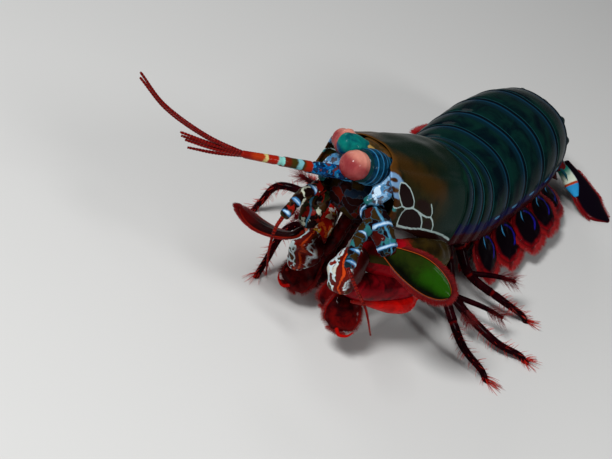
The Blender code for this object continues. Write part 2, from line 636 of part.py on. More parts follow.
def eye_parts(side):
    up = FRAMES["shield_front"][3]
    eye = head(EYES[side])
    stalk = tube("eyestalk_" + side, eye[:3], EYE_STALKS[side], EYE_STALKS[side], up, "stalk",
                 count=12, tips=(0.6, 0.85))
    axis = eye[3] - eye[2]
    cornea = tube("eye_" + side, (eye[2] + axis * 0.1, eye[3], eye[3] + axis * 1.1),
                  (2.4, 2.9, 2.15), (2.4, 2.9, 2.15), up, "cornea", count=12)
    return [stalk, cornea]


def antenna_parts(side):
    # Base with its stem, the leaf-shaped scale and the whip
    up = FRAMES["shield_front"][3]
    base = tube("antenna_base_" + side, head(ANTENNA_BASES[side]), (2.6, 3.1, 2.9, 2.3),
                (2.4, 2.8, 2.6, 2.0), up, "carpus", count=10)
    stem = tube("stem", head(ANTENNA_STEMS[side]), (1.6, 1.4, 1.15), (1.5, 1.35, 1.1), up,
                "carpus", count=8)
    wide = SCALE_HALF_WIDTH * np.array([0.45, 0.86, 1.0, 0.84, 0.35])
    thin = SCALE_HALF_THICK * np.array([1.4, 1.2, 1.0, 1.0, 0.9])
    leaf = tube("antenna_scale_" + side, head(SCALES[side]), wide, thin, SCALE_NORMALS[side],
                "scale", count=10)
    radii = (0.5, 0.42, 0.36, 0.28)
    whip = tube("antenna_flagellum_" + side, head(WHIPS[side]), radii, radii, (0.3, -1.0, 0.3),
                "whip", count=6, steps=3)
    return [union(base, stem), leaf, whip]


def antennule(side):
    # Jointed stalk with three threads at its end
    up = FRAMES["shield_front"][3]
    stalk = head(ANTENNULES[side])
    body = tube("antennule_" + side, stalk, (1.6, 1.7, 1.6, 1.3, 0.9), (1.5, 1.6, 1.5, 1.25, 0.85),
                up, "antennule", count=10)
    threads = []
    for thread in FLAGELLA[side]:
        start = stalk[-1] + (stalk[-2] - stalk[-1]) * 0.06
        path = [start] + head(thread)
        radius = np.linspace(0.46, 0.27, len(path))
        threads.append(tube("thread", path, radius, radius, up, "antennule", count=6))
    return union(body, *threads)


def build():
    parts = [carapace()]
    order = ("shield_back", "thorax_6", "thorax_7", "thorax_8", "abdomen_1", "abdomen_2",
             "abdomen_3", "abdomen_4", "abdomen_5", "abdomen_6")
    keels = ((90, 0.03), (64, 0.05), (116, 0.05), (38, 0.05), (142, 0.05))
    for before, name in zip(order, order[1:]):
        belly = 0.52 if name.startswith("thorax") else 0.28
        parts.append(somite(name, before, belly, keels if name == "abdomen_6" else ()))
    parts += [rostral_plate(), head_block(), trunk_block(), telson()]
    for side in ("left", "right"):
        parts += eye_parts(side)
    for side in ("left", "right"):
        parts += antenna_parts(side) + [antennule(side)]
    for side in ("left", "right"):
        parts += [limb("raptorial_merus_" + side, MERUS[side], "merus", 12),
                  limb("raptorial_carpus_" + side, CARPUS[side], "carpus"),
                  limb("raptorial_propodus_" + side, PROPODUS[side], "propodus"),
                  limb("raptorial_dactyl_" + side, DACTYL[side], "dactyl")]
    for number in "345":
        parts += [maxilliped(number, "left"), maxilliped(number, "right")]
    floor_parts = [leg(number, side) for number in "123" for side in ("left", "right")]
    floor_parts += [uropod("left"), uropod("right")]
    for number in "12345":
        parts += [pleopod(number, "left"), pleopod(number, "right")]
    corners = ((-200, -200), (200, -200), (200, 200), (-200, 200))
    block = [(x, y, z) for z in (-FLOOR_DEPTH, 0.0) for x, y in corners]
    faces = [(0, 3, 2, 1), (4, 5, 6, 7), (0, 1, 5, 4), (1, 2, 6, 5), (2, 3, 7, 6), (3, 0, 4, 7)]
    floor = solid("floor", block, faces, None)
    for part in floor_parts:
        use_boolean(part, floor, "DIFFERENCE")
    remove(floor)
    parts += floor_parts
    clear_neighbours(parts)
    return parts


def to_metres(parts):
    points = np.vstack([[v.co for v in part.data.vertices] for part in parts])
    middle = (points.min(0) + points.max(0)) / 2
    for part in parts:
        for vert in part.data.vertices:
            x, y, z = vert.co
            vert.co = Vector(((x - middle[0]) * MM, (y - middle[1]) * MM, max(z, 0.0) * MM))


to_metres(build())
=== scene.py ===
import bpy
import numpy as np
from mathutils import Matrix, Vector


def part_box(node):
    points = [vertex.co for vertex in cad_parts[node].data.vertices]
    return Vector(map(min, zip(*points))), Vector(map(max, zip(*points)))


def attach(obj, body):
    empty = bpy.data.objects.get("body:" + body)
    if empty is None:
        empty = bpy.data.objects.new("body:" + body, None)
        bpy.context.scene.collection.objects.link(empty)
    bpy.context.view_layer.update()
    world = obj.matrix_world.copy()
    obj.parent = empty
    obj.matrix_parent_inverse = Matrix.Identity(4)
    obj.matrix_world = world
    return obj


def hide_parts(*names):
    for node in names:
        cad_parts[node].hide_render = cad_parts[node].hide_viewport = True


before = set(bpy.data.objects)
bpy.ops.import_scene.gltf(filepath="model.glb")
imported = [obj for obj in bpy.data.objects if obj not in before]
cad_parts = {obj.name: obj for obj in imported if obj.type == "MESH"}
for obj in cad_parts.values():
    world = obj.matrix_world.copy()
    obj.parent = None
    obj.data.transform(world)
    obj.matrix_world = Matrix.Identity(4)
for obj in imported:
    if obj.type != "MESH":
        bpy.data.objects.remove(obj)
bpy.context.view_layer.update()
print("frame loaded:", len(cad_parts), "nodes")

# Shapes are worked out in millimetres about the last thoracic somite, the head towards -Y and
# the left side towards +X; the known middle of one node gives the step to the shared frame.
mm = 0.001
knownNode, knownMiddle = "abdomen_2", (0.2903, 15.7817)
low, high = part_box(knownNode)
shift = np.array([(low[i] + high[i]) / 2 / mm - knownMiddle[i] for i in (0, 1)] + [0.0])
rng = np.random.default_rng(7)
sides = (("left", 1), ("right", -1))
farAway = 99.0   # mm, where a painted mark doesn't reach
poleRows = 6     # rows that round off each end of a sweep

# Joint planes of the shell: name, length, yaw, pitch, roll, half width, height
tailward = (
    ("abdomen_1", 10.5, -1.8, -3.9, 4.9, 15.2, 17.5),
    ("abdomen_2", 10.5, -3.7, 0.7, 5.8, 15.8, 18.0),
    ("abdomen_3", 11.0, -4.6, 0.9, 6.4, 16.0, 18.0),
    ("abdomen_4", 11.5, -4.0, -3.2, 6.8, 15.4, 17.4),
    ("abdomen_5", 12.5, -3.0, -11.7, 7.2, 14.2, 16.0),
    ("abdomen_6", 9.0, -2.0, -24.5, 7.6, 11.8, 12.6),
)
# name, yaw, pitch, length of the somite behind, half width, height
headward = (
    ("thorax_8", 0.0, -12.8, 0.0, 14.4, 17.0),
    ("thorax_7", -3.3, -16.2, 6.5, 14.0, 16.5),
    ("thorax_6", -6.7, -19.6, 6.0, 13.6, 16.3),
    ("shield_back", -10.0, -23.0, 5.5, 14.0, 17.0),
    ("shield_front", -10.0, -23.0, 32.0, 10.4, 11.8),
)
trunkHeight, trunkRoll = 22.7, 4.0


def unit(v):
    # v divided by its length
    return v / np.maximum(np.linalg.norm(v, axis=-1, keepdims=True), 1e-9)


def hump(x, middle, width):
    # Bell curve: exp of minus the squared distance from the middle in widths
    return np.exp(-((x - middle) / width) ** 2)


def ripple(x, every):
    # Cosine with a crest at each length of every
    return np.cos(2 * np.pi * x / every)


def turnFrom(turn, middle):
    # Degrees between a turn round a ring and its middle, 0 to 180
    return np.abs((turn - middle + 180) % 360 - 180)


def directionFrame(yaw, pitch, roll):
    # Tail direction from yaw and pitch, then left and up turned about it by roll
    y, p, r = np.radians((yaw, pitch, roll))
    tail = np.array([-np.sin(y) * np.cos(p), np.cos(y) * np.cos(p), np.sin(p)])
    level = np.array([np.cos(y), np.sin(y), 0.0])
    upright = np.cross(level, tail)
    left = np.cos(r) * level - np.sin(r) * upright
    up = np.sin(r) * level + np.cos(r) * upright
    return tail, left, up


def jointFrames():
    # Each plane's centre lies its length from the last one, along its own tail direction
    frames = {}
    centre = np.array([0.0, 0.0, trunkHeight])
    for name, yaw, pitch, length, halfWidth, height in headward:
        tail, left, up = directionFrame(yaw, pitch, trunkRoll)
        centre = centre - tail * length
        frames[name] = (centre, tail, left, up, halfWidth, height)
    centre = frames["thorax_8"][0]
    for name, length, yaw, pitch, roll, halfWidth, height in tailward:
        tail, left, up = directionFrame(yaw, pitch, roll)
        centre = centre + tail * length
        frames[name] = (centre, tail, left, up, halfWidth, height)
    return frames


frames = jointFrames()
headUp = frames["shield_front"][3]
viewNormal = np.array([0.24, -0.80, 0.54])   # the way the flat blades face


def place(frameName, points):
    # (left, tailward, up) of a joint plane: centre + x left + y tail + z up
    centre, tail, left, up = frames[frameName][:4]
    p = np.asarray(points, float)
    return centre + p[..., 0:1] * left + p[..., 1:2] * tail + p[..., 2:3] * up


def head(points):
    # The same from the front plane of the carapace
    return place("shield_front", points)


def smoothLine(points, values, perSpan=8):
    # Catmull-Rom: in each span a cubic of the four nearest points, values carried along
    pts = np.asarray(points, float)
    vals = np.asarray(values, float).reshape(len(pts), -1)
    both = np.hstack([pts, vals])
    both = np.vstack([2 * both[0] - both[1], both, 2 * both[-1] - both[-2]])
    spans = len(pts) - 1
    u = np.linspace(0, spans, spans * perSpan + 1)
    k = np.minimum(u.astype(int), spans - 1)
    t = (u - k)[:, None]
    a, b, c, d = both[k], both[k + 1], both[k + 2], both[k + 3]
    out = 0.5 * (2 * b + (c - a) * t + (2 * a - 5 * b + 4 * c - d) * t ** 2
                 + (3 * b - a - 3 * c + d) * t ** 3)
    return out[:, :3], np.maximum(out[:, 3:], 0.04)


class Surface:
    # A closed grid of points, its masks by name and, for a sweep, its frame along the line
    def __init__(self, grid, **more):
        self.grid = grid
        self.masks = {}
        self.__dict__.update(more)


def withEnds(rows):
    # Repeats the first and last row for the rounded ends of a sweep
    return np.vstack([np.repeat(rows[:1], poleRows, 0), rows, np.repeat(rows[-1:], poleRows, 0)])


def sweep(points, wide, thin, flatNormal, perSpan=8, around=28, power=1.0, ends=(0.7, 0.7), shape=None):
    # Oval ring carried along a smooth line: centre + wide cos(a) side + thin sin(a) lift.
    # Each end is closed by a quarter ellipse whose radii fall as the cosine to a pole.
    line, radii = smoothLine(points, np.column_stack([wide, thin]), perSpan)
    tangent = unit(np.gradient(line, axis=0))
    side = unit(np.cross(np.asarray(flatNormal, float), tangent))
    lift = np.cross(tangent, side)
    steps = np.concatenate([[0], np.cumsum(np.linalg.norm(np.diff(line, axis=0), axis=1))])
    if shape is not None:
        radii = radii * shape(steps / steps[-1])
    phi = np.linspace(0, np.pi / 2, poleRows + 1)[1:]
    first, last = radii[0].min() * ends[0], radii[-1].min() * ends[1]
    centres = np.vstack([line[0] - tangent[0] * (first * np.sin(phi))[::-1, None], line,
                         line[-1] + tangent[-1] * (last * np.sin(phi))[:, None]])
    sizes = np.vstack([radii[0] * np.cos(phi)[::-1, None], radii, radii[-1] * np.cos(phi)[:, None]])
    angle = np.arange(around) * 2 * np.pi / around
    ca = np.sign(np.cos(angle)) * np.abs(np.cos(angle)) ** power
    sa = np.sign(np.sin(angle)) * np.abs(np.sin(angle)) ** power
    grid = (centres[:, None] + (sizes[:, 0:1] * ca)[..., None] * withEnds(side)[:, None]
            + (sizes[:, 1:2] * sa)[..., None] * withEnds(lift)[:, None])
    along = np.concatenate([-first * np.sin(phi)[::-1], steps, steps[-1] + last * np.sin(phi)])
    turn, along = np.meshgrid(np.degrees(angle), along)
    return Surface(grid, line=line, radii=radii, tangent=tangent, side=side, lift=lift, steps=steps,
                   along=along, turn=turn, length=steps[-1])


def outward(grid):
    # Normal of a closed grid from its two difference directions
    rows = np.gradient(grid, axis=0)
    cols = np.roll(grid, -1, axis=1) - np.roll(grid, 1, axis=1)
    normal = np.cross(cols, rows)
    centre = grid.mean(axis=1, keepdims=True)
    flip = np.sign(np.sum(normal * (grid - centre)))
    return unit(normal) * (flip if flip else 1)


def pushOut(surface, amount):
    # Moves each point along the normal by amount; the poles stay
    amount = np.broadcast_to(amount, surface.grid.shape[:2]).copy()
    amount[0] = amount[-1] = 0
    surface.grid = surface.grid + outward(surface.grid) * amount[..., None]
    return surface


def waves(grid, size, seed):
    # Smooth bumps: a sum of sines in fixed random directions, about -1 to 1
    local = np.random.default_rng(seed)
    total = 0
    for k in range(6):
        d = unit(local.normal(size=3))
        total = total + np.sin(grid @ d * (2 * np.pi / (size * local.uniform(0.6, 1.6))) + k * 1.7)
    return total / 3.5


def addObject(name, data):
    # A new object at the origin, in the scene's own collection
    obj = bpy.data.objects.new(name, data)
    bpy.context.scene.collection.objects.link(obj)
    return obj


def meshPiece(name, points, quads, tris, uvQuads, uvTris, masks, material, node):
    # Points in mm become a mesh in metres that rides on the root. Six times its volume is the
    # sum of a . (b x c) over its triangles, and where that is negative the faces are reversed.
    mesh = bpy.data.meshes.new(name)
    points[:, 2] = np.maximum(points[:, 2], 0.0)
    world = (points + shift) * mm
    a, b, c, d = (world[quads[:, i]] for i in range(4))
    e, f, g = (world[tris[:, i]] for i in range(3))
    if np.sum(a * np.cross(b, c)) + np.sum(a * np.cross(c, d)) + np.sum(e * np.cross(f, g)) < 0:
        quads, tris = quads[:, ::-1], tris[:, ::-1]
        uvQuads, uvTris = uvQuads[:, ::-1], uvTris[:, ::-1]
    mesh.from_pydata(world, [], quads.tolist() + tris.tolist())
    uv = mesh.uv_layers.new(name="OFBake")
    uv.uv.foreach_set("vector", np.concatenate([uvQuads.reshape(-1), uvTris.reshape(-1)]))
    for key, values in masks.items():
        layer = mesh.attributes.new(key, "FLOAT", "POINT")
        layer.data.foreach_set("value", np.ascontiguousarray(values, np.float32))
    mesh.polygons.foreach_set("use_smooth", np.ones(len(mesh.polygons), bool))
    mesh.validate()
    mesh.materials.append(material)
    piece = addObject(name, mesh)
    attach(piece, "root")
    if node:
        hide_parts(node)


def makePiece(name, surfaces, material, node=None):
    # Quads between the rows of each grid and a fan at each pole; masks become attributes.
    # Each surface bakes into a strip of its own: u round the ring, v along the rows.
    surfaces = surfaces if isinstance(surfaces, (list, tuple)) else [surfaces]
    strip = 1 / len(surfaces)
    masks = {key: [] for key in sorted({key for s in surfaces for key in s.masks})}
    points, quads, tris, uvQuads, uvTris = [], [], [], [], []
    first = 0
    for number, s in enumerate(surfaces):
        def flat(grid):
            # Each pole once, and the rows between them
            return [grid[:1, 0], grid[1:-1].reshape(-1, *grid.shape[2:]), grid[-1:, 0]]
        points += flat(s.grid)
        for key in masks:
            masks[key] += flat(np.broadcast_to(s.masks.get(key, farAway), s.grid.shape[:2]))
        rows, cols = s.grid.shape[0] - 2, s.grid.shape[1]
        last = first + 1 + rows * cols
        body = np.arange(first + 1, last).reshape(rows, cols)
        right = np.roll(body, -1, axis=1)
        quads.append(np.stack([body[:-1], right[:-1], right[1:], body[1:]], -1).reshape(-1, 4))
        j, i = np.meshgrid(np.arange(cols), np.arange(rows - 1))
        u = (np.stack([j, j + 1, j + 1, j], -1) / cols).reshape(-1, 4)
        v = (np.stack([i, i, i + 1, i + 1], -1) + 1).reshape(-1, 4) / (rows + 1)
        uvQuads.append(np.stack([(u + number) * strip, v], -1))
        for pole, ring, turns, v in ((first, (right[0], body[0]), (0.5, 1, 0), (0, 1, 1)),
                                     (last, (body[-1], right[-1]), (0.5, 0, 1),
                                      (rows + 1, rows, rows))):
            tris.append(np.stack([np.full(cols, pole), *ring], -1))
            u = (np.arange(cols)[:, None] + turns) / cols
            uvTris.append(np.stack([(u + number) * strip, np.tile(v, (cols, 1)) / (rows + 1)], -1))
        first = last + 1
    meshPiece(name, np.vstack(points), np.vstack(quads), np.vstack(tris), np.vstack(uvQuads),
              np.vstack(uvTris), {key: np.concatenate(v) for key, v in masks.items()},
              material, node)


# lastRing: share of the length, taper: share of the radius lost, patch: share of the bake map
setaLook = {"rings": 4, "lastRing": 0.86, "taper": 0.72, "patch": 0.003}


def makeSetae(name, roots, directions, lengths, radius, bend, uvRoots, material):
    # Thin three-sided cones: root + direction l t + bend l t^2, radius falling to the tip.
    # Each bakes into a small patch at its root's place on the skin.
    n, rings = len(roots), setaLook["rings"]
    directions = unit(np.asarray(directions, float))
    share = np.linspace(0, setaLook["lastRing"], rings)
    t = share[None, :, None]
    lengths = np.broadcast_to(lengths, (n,))[:, None, None]
    centre = roots[:, None] + directions[:, None] * lengths * t + bend[:, None] * lengths * t ** 2
    tip = roots + directions * lengths[:, 0] + bend * lengths[:, 0]
    side = unit(np.cross(directions, [0.31, 0.52, 0.79]))   # any direction that no seta points in
    lift = np.cross(directions, side)
    angle = (np.arange(3) * 2 * np.pi / 3)[None, None, :, None]
    ring = np.cos(angle) * side[:, None, None] + np.sin(angle) * lift[:, None, None]
    radii = radius * (1 - setaLook["taper"] * t[..., None])
    body = (centre[:, :, None] + ring * radii).reshape(n, -1, 3)
    points = np.concatenate([body, tip[:, None]], axis=1)
    per = rings * 3 + 1
    start = (np.arange(n) * per)[:, None, None]
    k = np.arange(rings * 3).reshape(rings, 3)
    right = np.roll(k, -1, axis=1)
    quads = np.stack([k[:-1], right[:-1], right[1:], k[1:]], -1).reshape(1, -1, 4) + start
    caps = np.stack([k[-1], right[-1], np.full(3, rings * 3)], -1)
    tris = np.vstack([caps, k[0, ::-1][None]])[None] + start
    column, row = np.meshgrid(np.arange(3), np.arange(rings - 1))
    quadUv = np.stack([np.stack([column, column + 1, column + 1, column], -1) / 3,
                       np.stack([row, row, row + 1, row + 1], -1) / rings], -1).reshape(1, -1, 4, 2)
    lastRow = (rings - 1) / rings
    triUv = np.array([[(j / 3, lastRow), ((j + 1) / 3, lastRow), ((j + 0.5) / 3, 1)] for j in range(3)]
                     + [[(0, 0), (0.5, 0), (1, 0)]])[None]
    uvQuads, uvTris = (uvRoots[:, None, None, :] + setaLook["patch"] * (uv - 0.5)
                       for uv in (quadUv, triUv))
    own = np.repeat(rng.uniform(0, 1, n), per)
    tipward = np.tile(np.concatenate([np.repeat(share, 3), [1.0]]), n)
    meshPiece(name, points.reshape(-1, 3), quads.reshape(-1, 4), tris.reshape(-1, 3),
              uvQuads.reshape(-1, 4, 2), uvTris.reshape(-1, 3, 2), {"tone": own, "tipward": tipward},
              material, None)


# Materials

mmInMetre = 1000.0
speckGrey = (0.3, 0.3, 0.3, 1)


def tone(paint):
    # An everyday 0 to 255 colour as the renderer's linear values
    c = np.array(paint) / 255
    c = np.where(c < 0.04045, c / 12.92, ((c + 0.055) / 1.055) ** 2.4)
    return (*[float(x) for x in c], 1.0)


def feed(tree, node, feeds):
    # Each input, by name or number, gets a value, or a link where an output is given
    for key, value in feeds.items():
        if isinstance(value, bpy.types.NodeSocket):
            tree.links.new(value, node.inputs[key])
        else:
            node.inputs[key].default_value = value


def addNode(tree, kind, feeds, **settings):
    # One node, to the right of those already there
    node = tree.nodes.new("ShaderNode" + kind)
    node.location = (180 * len(tree.nodes), 0)
    for key, value in settings.items():
        setattr(node, key, value)
    feed(tree, node, feeds)
    return node.outputs


def maths(tree, operation, *values):
    # The operation on the values in order, each a number or an output
    return addNode(tree, "Math", dict(enumerate(values)), operation=operation)[0]


def paintOver(tree, share, under, over, way="MIX"):
    # Colour under (1 - share) + over share
    return addNode(tree, "Mix", {0: share, 6: under, 7: over}, data_type="RGBA", blend_type=way)[2]


def smoothCut(tree, value, start, full, **ends):
    # 0 at start to 1 at full, eased at both
    feeds = {"Value": value, "From Min": start, "From Max": full}
    feeds.update((key.replace("_", " "), end) for key, end in ends.items())
    return addNode(tree, "MapRange", feeds, interpolation_type="SMOOTHSTEP")[0]


def newGroup(name, inputs, outputs):
    # A group whose inputs are colours where they start as one, and else numbers
    group = bpy.data.node_groups.new(name, "ShaderNodeTree")
    for label, value in inputs.items():
        kind = "NodeSocketFloat" if isinstance(value, float) else "NodeSocketColor"
        group.interface.new_socket(label, in_out="INPUT", socket_type=kind).default_value = value
    for label in outputs:
        kind = "NodeSocketColor" if label == "Color" else "NodeSocketFloat"
        group.interface.new_socket(label, in_out="OUTPUT", socket_type=kind)
    given = group.nodes.new("NodeGroupInput").outputs
    where = addNode(group, "TexCoord", {})["Object"]
    return group, given, where, maths(group, "DIVIDE", mmInMetre, given["Size"])


def finishGroup(group, **results):
    # Links the results to the group's outputs
    out = group.nodes.new("NodeGroupOutput")
    out.location = (180 * len(group.nodes), 0)
    feed(group, out, results)
    return group


def buildMottle():
    # Two colours mixed by a soft noise, with fine specks; the height follows the specks
    group, given, where, scale = newGroup(
        "shellMottle", {"Light": (1, 1, 1, 1), "Dark": (0, 0, 0, 1), "Size": 3.0, "Contrast": 0.25,
                        "Specks": 0.15}, ("Color", "Height"))
    soft = addNode(group, "TexNoise",
                   {"Vector": where, "Scale": scale, "Detail": 4.0, "Roughness": 0.55,
                    "Distortion": 0.6})[0]
    spread = smoothCut(group, soft, maths(group, "SUBTRACT", 0.5, given["Contrast"]),
                       maths(group, "ADD", 0.5, given["Contrast"]))
    colour = paintOver(group, spread, given["Dark"], given["Light"])
    fine = addNode(group, "TexNoise",
                   {"Vector": where, "Scale": 3200.0, "Detail": 2.0, "Roughness": 0.6})[0]
    speck = addNode(group, "MapRange", {"Value": fine, "From Min": 0.38, "From Max": 0.62})[0]
    amount = maths(group, "MULTIPLY", speck, given["Specks"])
    return finishGroup(group, Color=paintOver(group, amount, colour, speckGrey, "MULTIPLY"),
                       Height=speck)


def buildBrokenMask():
    # A value moved by breakup times a noise about 0, then cut between two ends
    group, given, where, scale = newGroup(
        "brokenMask", {"Value": 0.0, "Low": 0.0, "High": 1.0, "Breakup": 0.0, "Size": 1.0}, ("Mask",))
    noise = addNode(group, "TexNoise",
                    {"Vector": where, "Scale": scale, "Detail": 3.0, "Roughness": 0.6})[0]
    moved = maths(group, "MULTIPLY_ADD", maths(group, "SUBTRACT", noise, 0.5), given["Breakup"],
                  given["Value"])
    return finishGroup(group, Mask=smoothCut(group, moved, given["Low"], given["High"]))


def buildNetwork():
    # Pale lines between irregular cells: distance to the cell edges of a warped Voronoi
    group, given, where, scale = newGroup("cellNetwork", {"Size": 2.5, "Width": 0.12, "Warp": 0.4},
                                          ("Mask", "Cell"))
    bend = addNode(group, "TexNoise", {"Vector": where, "Scale": 500.0, "Detail": 2.0})["Color"]
    offset = addNode(group, "VectorMath", {0: bend, 1: (0.5, 0.5, 0.5)}, operation="SUBTRACT")[0]
    grow = maths(group, "MULTIPLY", given["Warp"], 0.004)
    moved = addNode(group, "VectorMath", {0: offset, 1: grow, 2: where}, operation="MULTIPLY_ADD")[0]
    edge, cell = (addNode(group, "TexVoronoi", {"Vector": moved, "Scale": scale}, feature=feature)
                  for feature in ("DISTANCE_TO_EDGE", "F1"))
    line = smoothCut(group, edge["Distance"], maths(group, "MULTIPLY", given["Width"], 0.55),
                     given["Width"], To_Min=1.0, To_Max=0.0)
    return finishGroup(group, Mask=line, Cell=addNode(group, "SeparateColor", {0: cell["Color"]})[0])


groups = {"mottle": buildMottle(), "mask": buildBrokenMask(), "net": buildNetwork()}


def addGroup(tree, name, **feeds):
    # One of the three groups with this material's values
    return addNode(tree, "Group", feeds, node_tree=groups[name])


def newMaterial(name):
    # A material with its node tree and its shader
    mat = bpy.data.materials.new(name)
    mat.use_nodes = True
    return mat, mat.node_tree, mat.node_tree.nodes["Principled BSDF"]


def shellMaterial(name, light, dark, size=3.0, contrast=0.2, specks=0.15, layers=(), net=None,
                  rough=0.26, spread=0.10, coat=0.25, bump=0.10, ior=1.08, subsurface=0.0):
    # Mottled base, a network of coloured cells where net is given, then layers painted by the
    # piece's own masks, under a wet clear coat. Sizes are in mm, colours 0 to 255.
    # layers: mask name, colour, value where it starts, value where it is full, breakup, grain
    # net: cell size, line width, warp, line colour, then each cell colour's start and colour
    mat, tree, shader = newMaterial(name)
    base = addGroup(tree, "mottle", Light=tone(light), Dark=tone(dark), Size=size, Contrast=contrast,
                    Specks=specks)
    colour, height = base["Color"], base["Height"]
    if net:
        cellSize, lineWidth, warp, line, *cells = net
        web = addGroup(tree, "net", Size=cellSize, Width=lineWidth, Warp=warp)
        ramp = tree.nodes.new("ShaderNodeValToRGB")
        feed(tree, ramp, {0: web["Cell"]})
        ramp.color_ramp.interpolation = "CONSTANT"
        stops = ramp.color_ramp.elements
        for k, (at, paint) in enumerate(cells):
            stop = stops[k] if k < 2 else stops.new(at)
            stop.position, stop.color = at, tone(paint)
        colour = paintOver(tree, 0.85, colour, ramp.outputs["Color"])
        colour = paintOver(tree, web["Mask"], colour, tone(line))
    for mask, paint, start, full, breakup, grain in layers:
        value = addNode(tree, "Attribute", {}, attribute_name=mask)["Fac"]
        share = addGroup(tree, "mask", Value=value, Low=start, High=full, Breakup=breakup, Size=grain)
        colour = paintOver(tree, share["Mask"], colour, tone(paint))
    gloss = addNode(tree, "MapRange", {"Value": height, "To Min": rough - spread / 2,
                                       "To Max": rough + spread / 2})[0]
    relief = addNode(tree, "Bump", {"Height": height, "Strength": bump, "Distance": 0.0001})[0]
    feed(tree, shader, {
        "Base Color": colour, "Roughness": gloss, "Normal": relief, "IOR": ior, "Coat Weight": coat,
        "Coat IOR": 1.25, "Coat Roughness": 0.05, "Subsurface Weight": subsurface,
        "Subsurface Radius": (0.002, 0.0008, 0.0005)})
    return mat


def hairMaterial(name, root, tip, stray):
    # Colour from root to tip along each seta, and each seta a little nearer the stray colour
    mat, tree, shader = newMaterial(name)
    tipward, own = (addNode(tree, "Attribute", {}, attribute_name=key)["Fac"]
                    for key in ("tipward", "tone"))
    colour = paintOver(tree, tipward, tone(root), tone(tip))
    colour = paintOver(tree, maths(tree, "MULTIPLY", own, 0.7), colour, tone(stray))
    feed(tree, shader, {"Base Color": colour, "Roughness": 0.4, "IOR": 1.25})
    return mat


print("tools and node groups ready")


# Carapace

domeLook = {"power": 0.85, "keelWidth": 5.0, "drop": 0.45, "underHalfWidth": 0.93}


def bodyOutline(columns, under, belly, keels=()):
    # Dome cos^p, sin^p with keels at given angles, then an underside falling as the cube of
    # the way out. Also gives each point's angle up from the left margin, -10 underneath.
    power = domeLook["power"]
    theta = np.linspace(0, np.pi, columns)
    across = np.sign(np.cos(theta)) * np.abs(np.cos(theta)) ** power
    rise = np.sin(theta).clip(0) ** power
    bump = sum((height * hump(np.degrees(theta), at, domeLook["keelWidth"]) for at, height in keels),
               np.zeros(columns))
    dome = np.column_stack([across * (1 + bump), rise * (1 + bump) - domeLook["drop"]])
    half = domeLook["underHalfWidth"]
    x = np.linspace(-half, half, under)
    low = np.column_stack([x, -belly - (0.47 - belly) * np.abs(x / half) ** 3])
    angle = np.concatenate([np.degrees(theta), np.full(under, -10.0)])
    return np.vstack([dome, low]), angle


def bodyRing(frameName, offset, outline):
    # The outline in a joint plane: centre + x half width left + y height up, offset tailward
    centre, tail, left, up, halfWidth, height = frames[frameName]
    return (centre + tail * offset + outline[:, 0:1] * halfWidth * left
            + outline[:, 1:2] * height * up)


def loft(front, rear, along, sizes, centres=None):
    # Rings from the front one straight to the rear one, each sized about its centre
    t = along[:, None, None]
    grid = front * (1 - t) + rear * t
    if centres is None:
        centre = grid.mean(axis=1, keepdims=True)
    else:
        centre = centres[0] * (1 - t) + centres[1] * t
    return Surface(centre + (grid - centre) * sizes[:, None, None])


carapaceLook = {
    "columns": 151, "under": 31, "rows": 100, "belly": 0.24, "bulge": 0.05,
    "lobes": 3.4, "corner": 3.4, "lobeAngle": 42, "cornerAngle": 44,
    "grooves": ((58, -0.035), (122, -0.035), (90, 0.012)),
    "length": 30, "mmPerDegree": 0.2525,
    # share of the way back and size of the rings that roll the two rims in
    "frontRows": (0.07, 0.06, 0.05, 0.03, 0.012, 0.003, 0.0, 0.002, 0.008),
    "frontSizes": (0.0, 0.5, 0.90, 0.93, 0.94, 0.955, 0.975, 0.99, 0.997),
    "rearRows": (0.985, 0.993, 0.998, 1.0, 0.999, 0.985, 0.97, 0.97),
    "rearSizes": (1.006, 1.008, 1.004, 0.995, 0.985, 0.965, 0.5, 0.0),
}
# The painted network in mm along from the front edge and mm up from the lower margin
carapaceLines = (
    ((0.0, 9.3), (0.5, 10.3), (2.2, 10.3), (4.1, 9.3), (5.4, 7.7), (6.3, 6.3), (6.4, 5.2), (5.4, 4.5),
     (3.7, 4.1), (2.1, 4.3), (0.8, 5.5), (-0.2, 7.2), (0.0, 9.3)),
    ((3.8, 4.0), (6.4, 4.7), (8.7, 4.4), (10.6, 3.6), (12.1, 2.5), (13.0, 1.3)),
    ((3.8, 0.1), (6.2, 0.3), (9.2, 0.6), (13.0, 1.3), (15.7, 1.45), (20.2, 1.6), (24.7, 1.4),
     (29.3, 0.95)),
    ((3.8, 4.0), (2.9, 2.8), (2.8, 1.6), (3.2, 0.5), (3.8, 0.1)),
    ((8.7, 4.4), (11.0, 4.0), (13.1, 3.8), (14.6, 4.1), (14.8, 4.9), (14.1, 5.9), (13.3, 6.8)),
    ((14.6, 4.1), (16.1, 3.5), (17.4, 2.6), (18.0, 1.6)), ((2.1, 4.3), (0.4, 3.4), (-1.0, 3.0)))
darkCells = (carapaceLines[0],
             carapaceLines[1] + ((9.2, 0.6), (6.2, 0.3), (3.8, 0.1), (3.2, 0.5), (2.8, 1.6),
                                 (2.9, 2.8)))
brownCells = (((6.6, 5.6), (8.7, 4.6), (11.0, 4.2), (13.1, 4.0), (14.4, 4.3), (14.6, 4.9), (13.9, 5.9),
               (12.6, 7.2), (9.8, 7.8), (7.4, 7.2)),
              ((12.3, 2.6), (13.3, 3.6), (14.6, 3.9), (16.1, 3.3), (17.2, 2.5), (17.6, 1.7),
               (13.1, 1.5)))
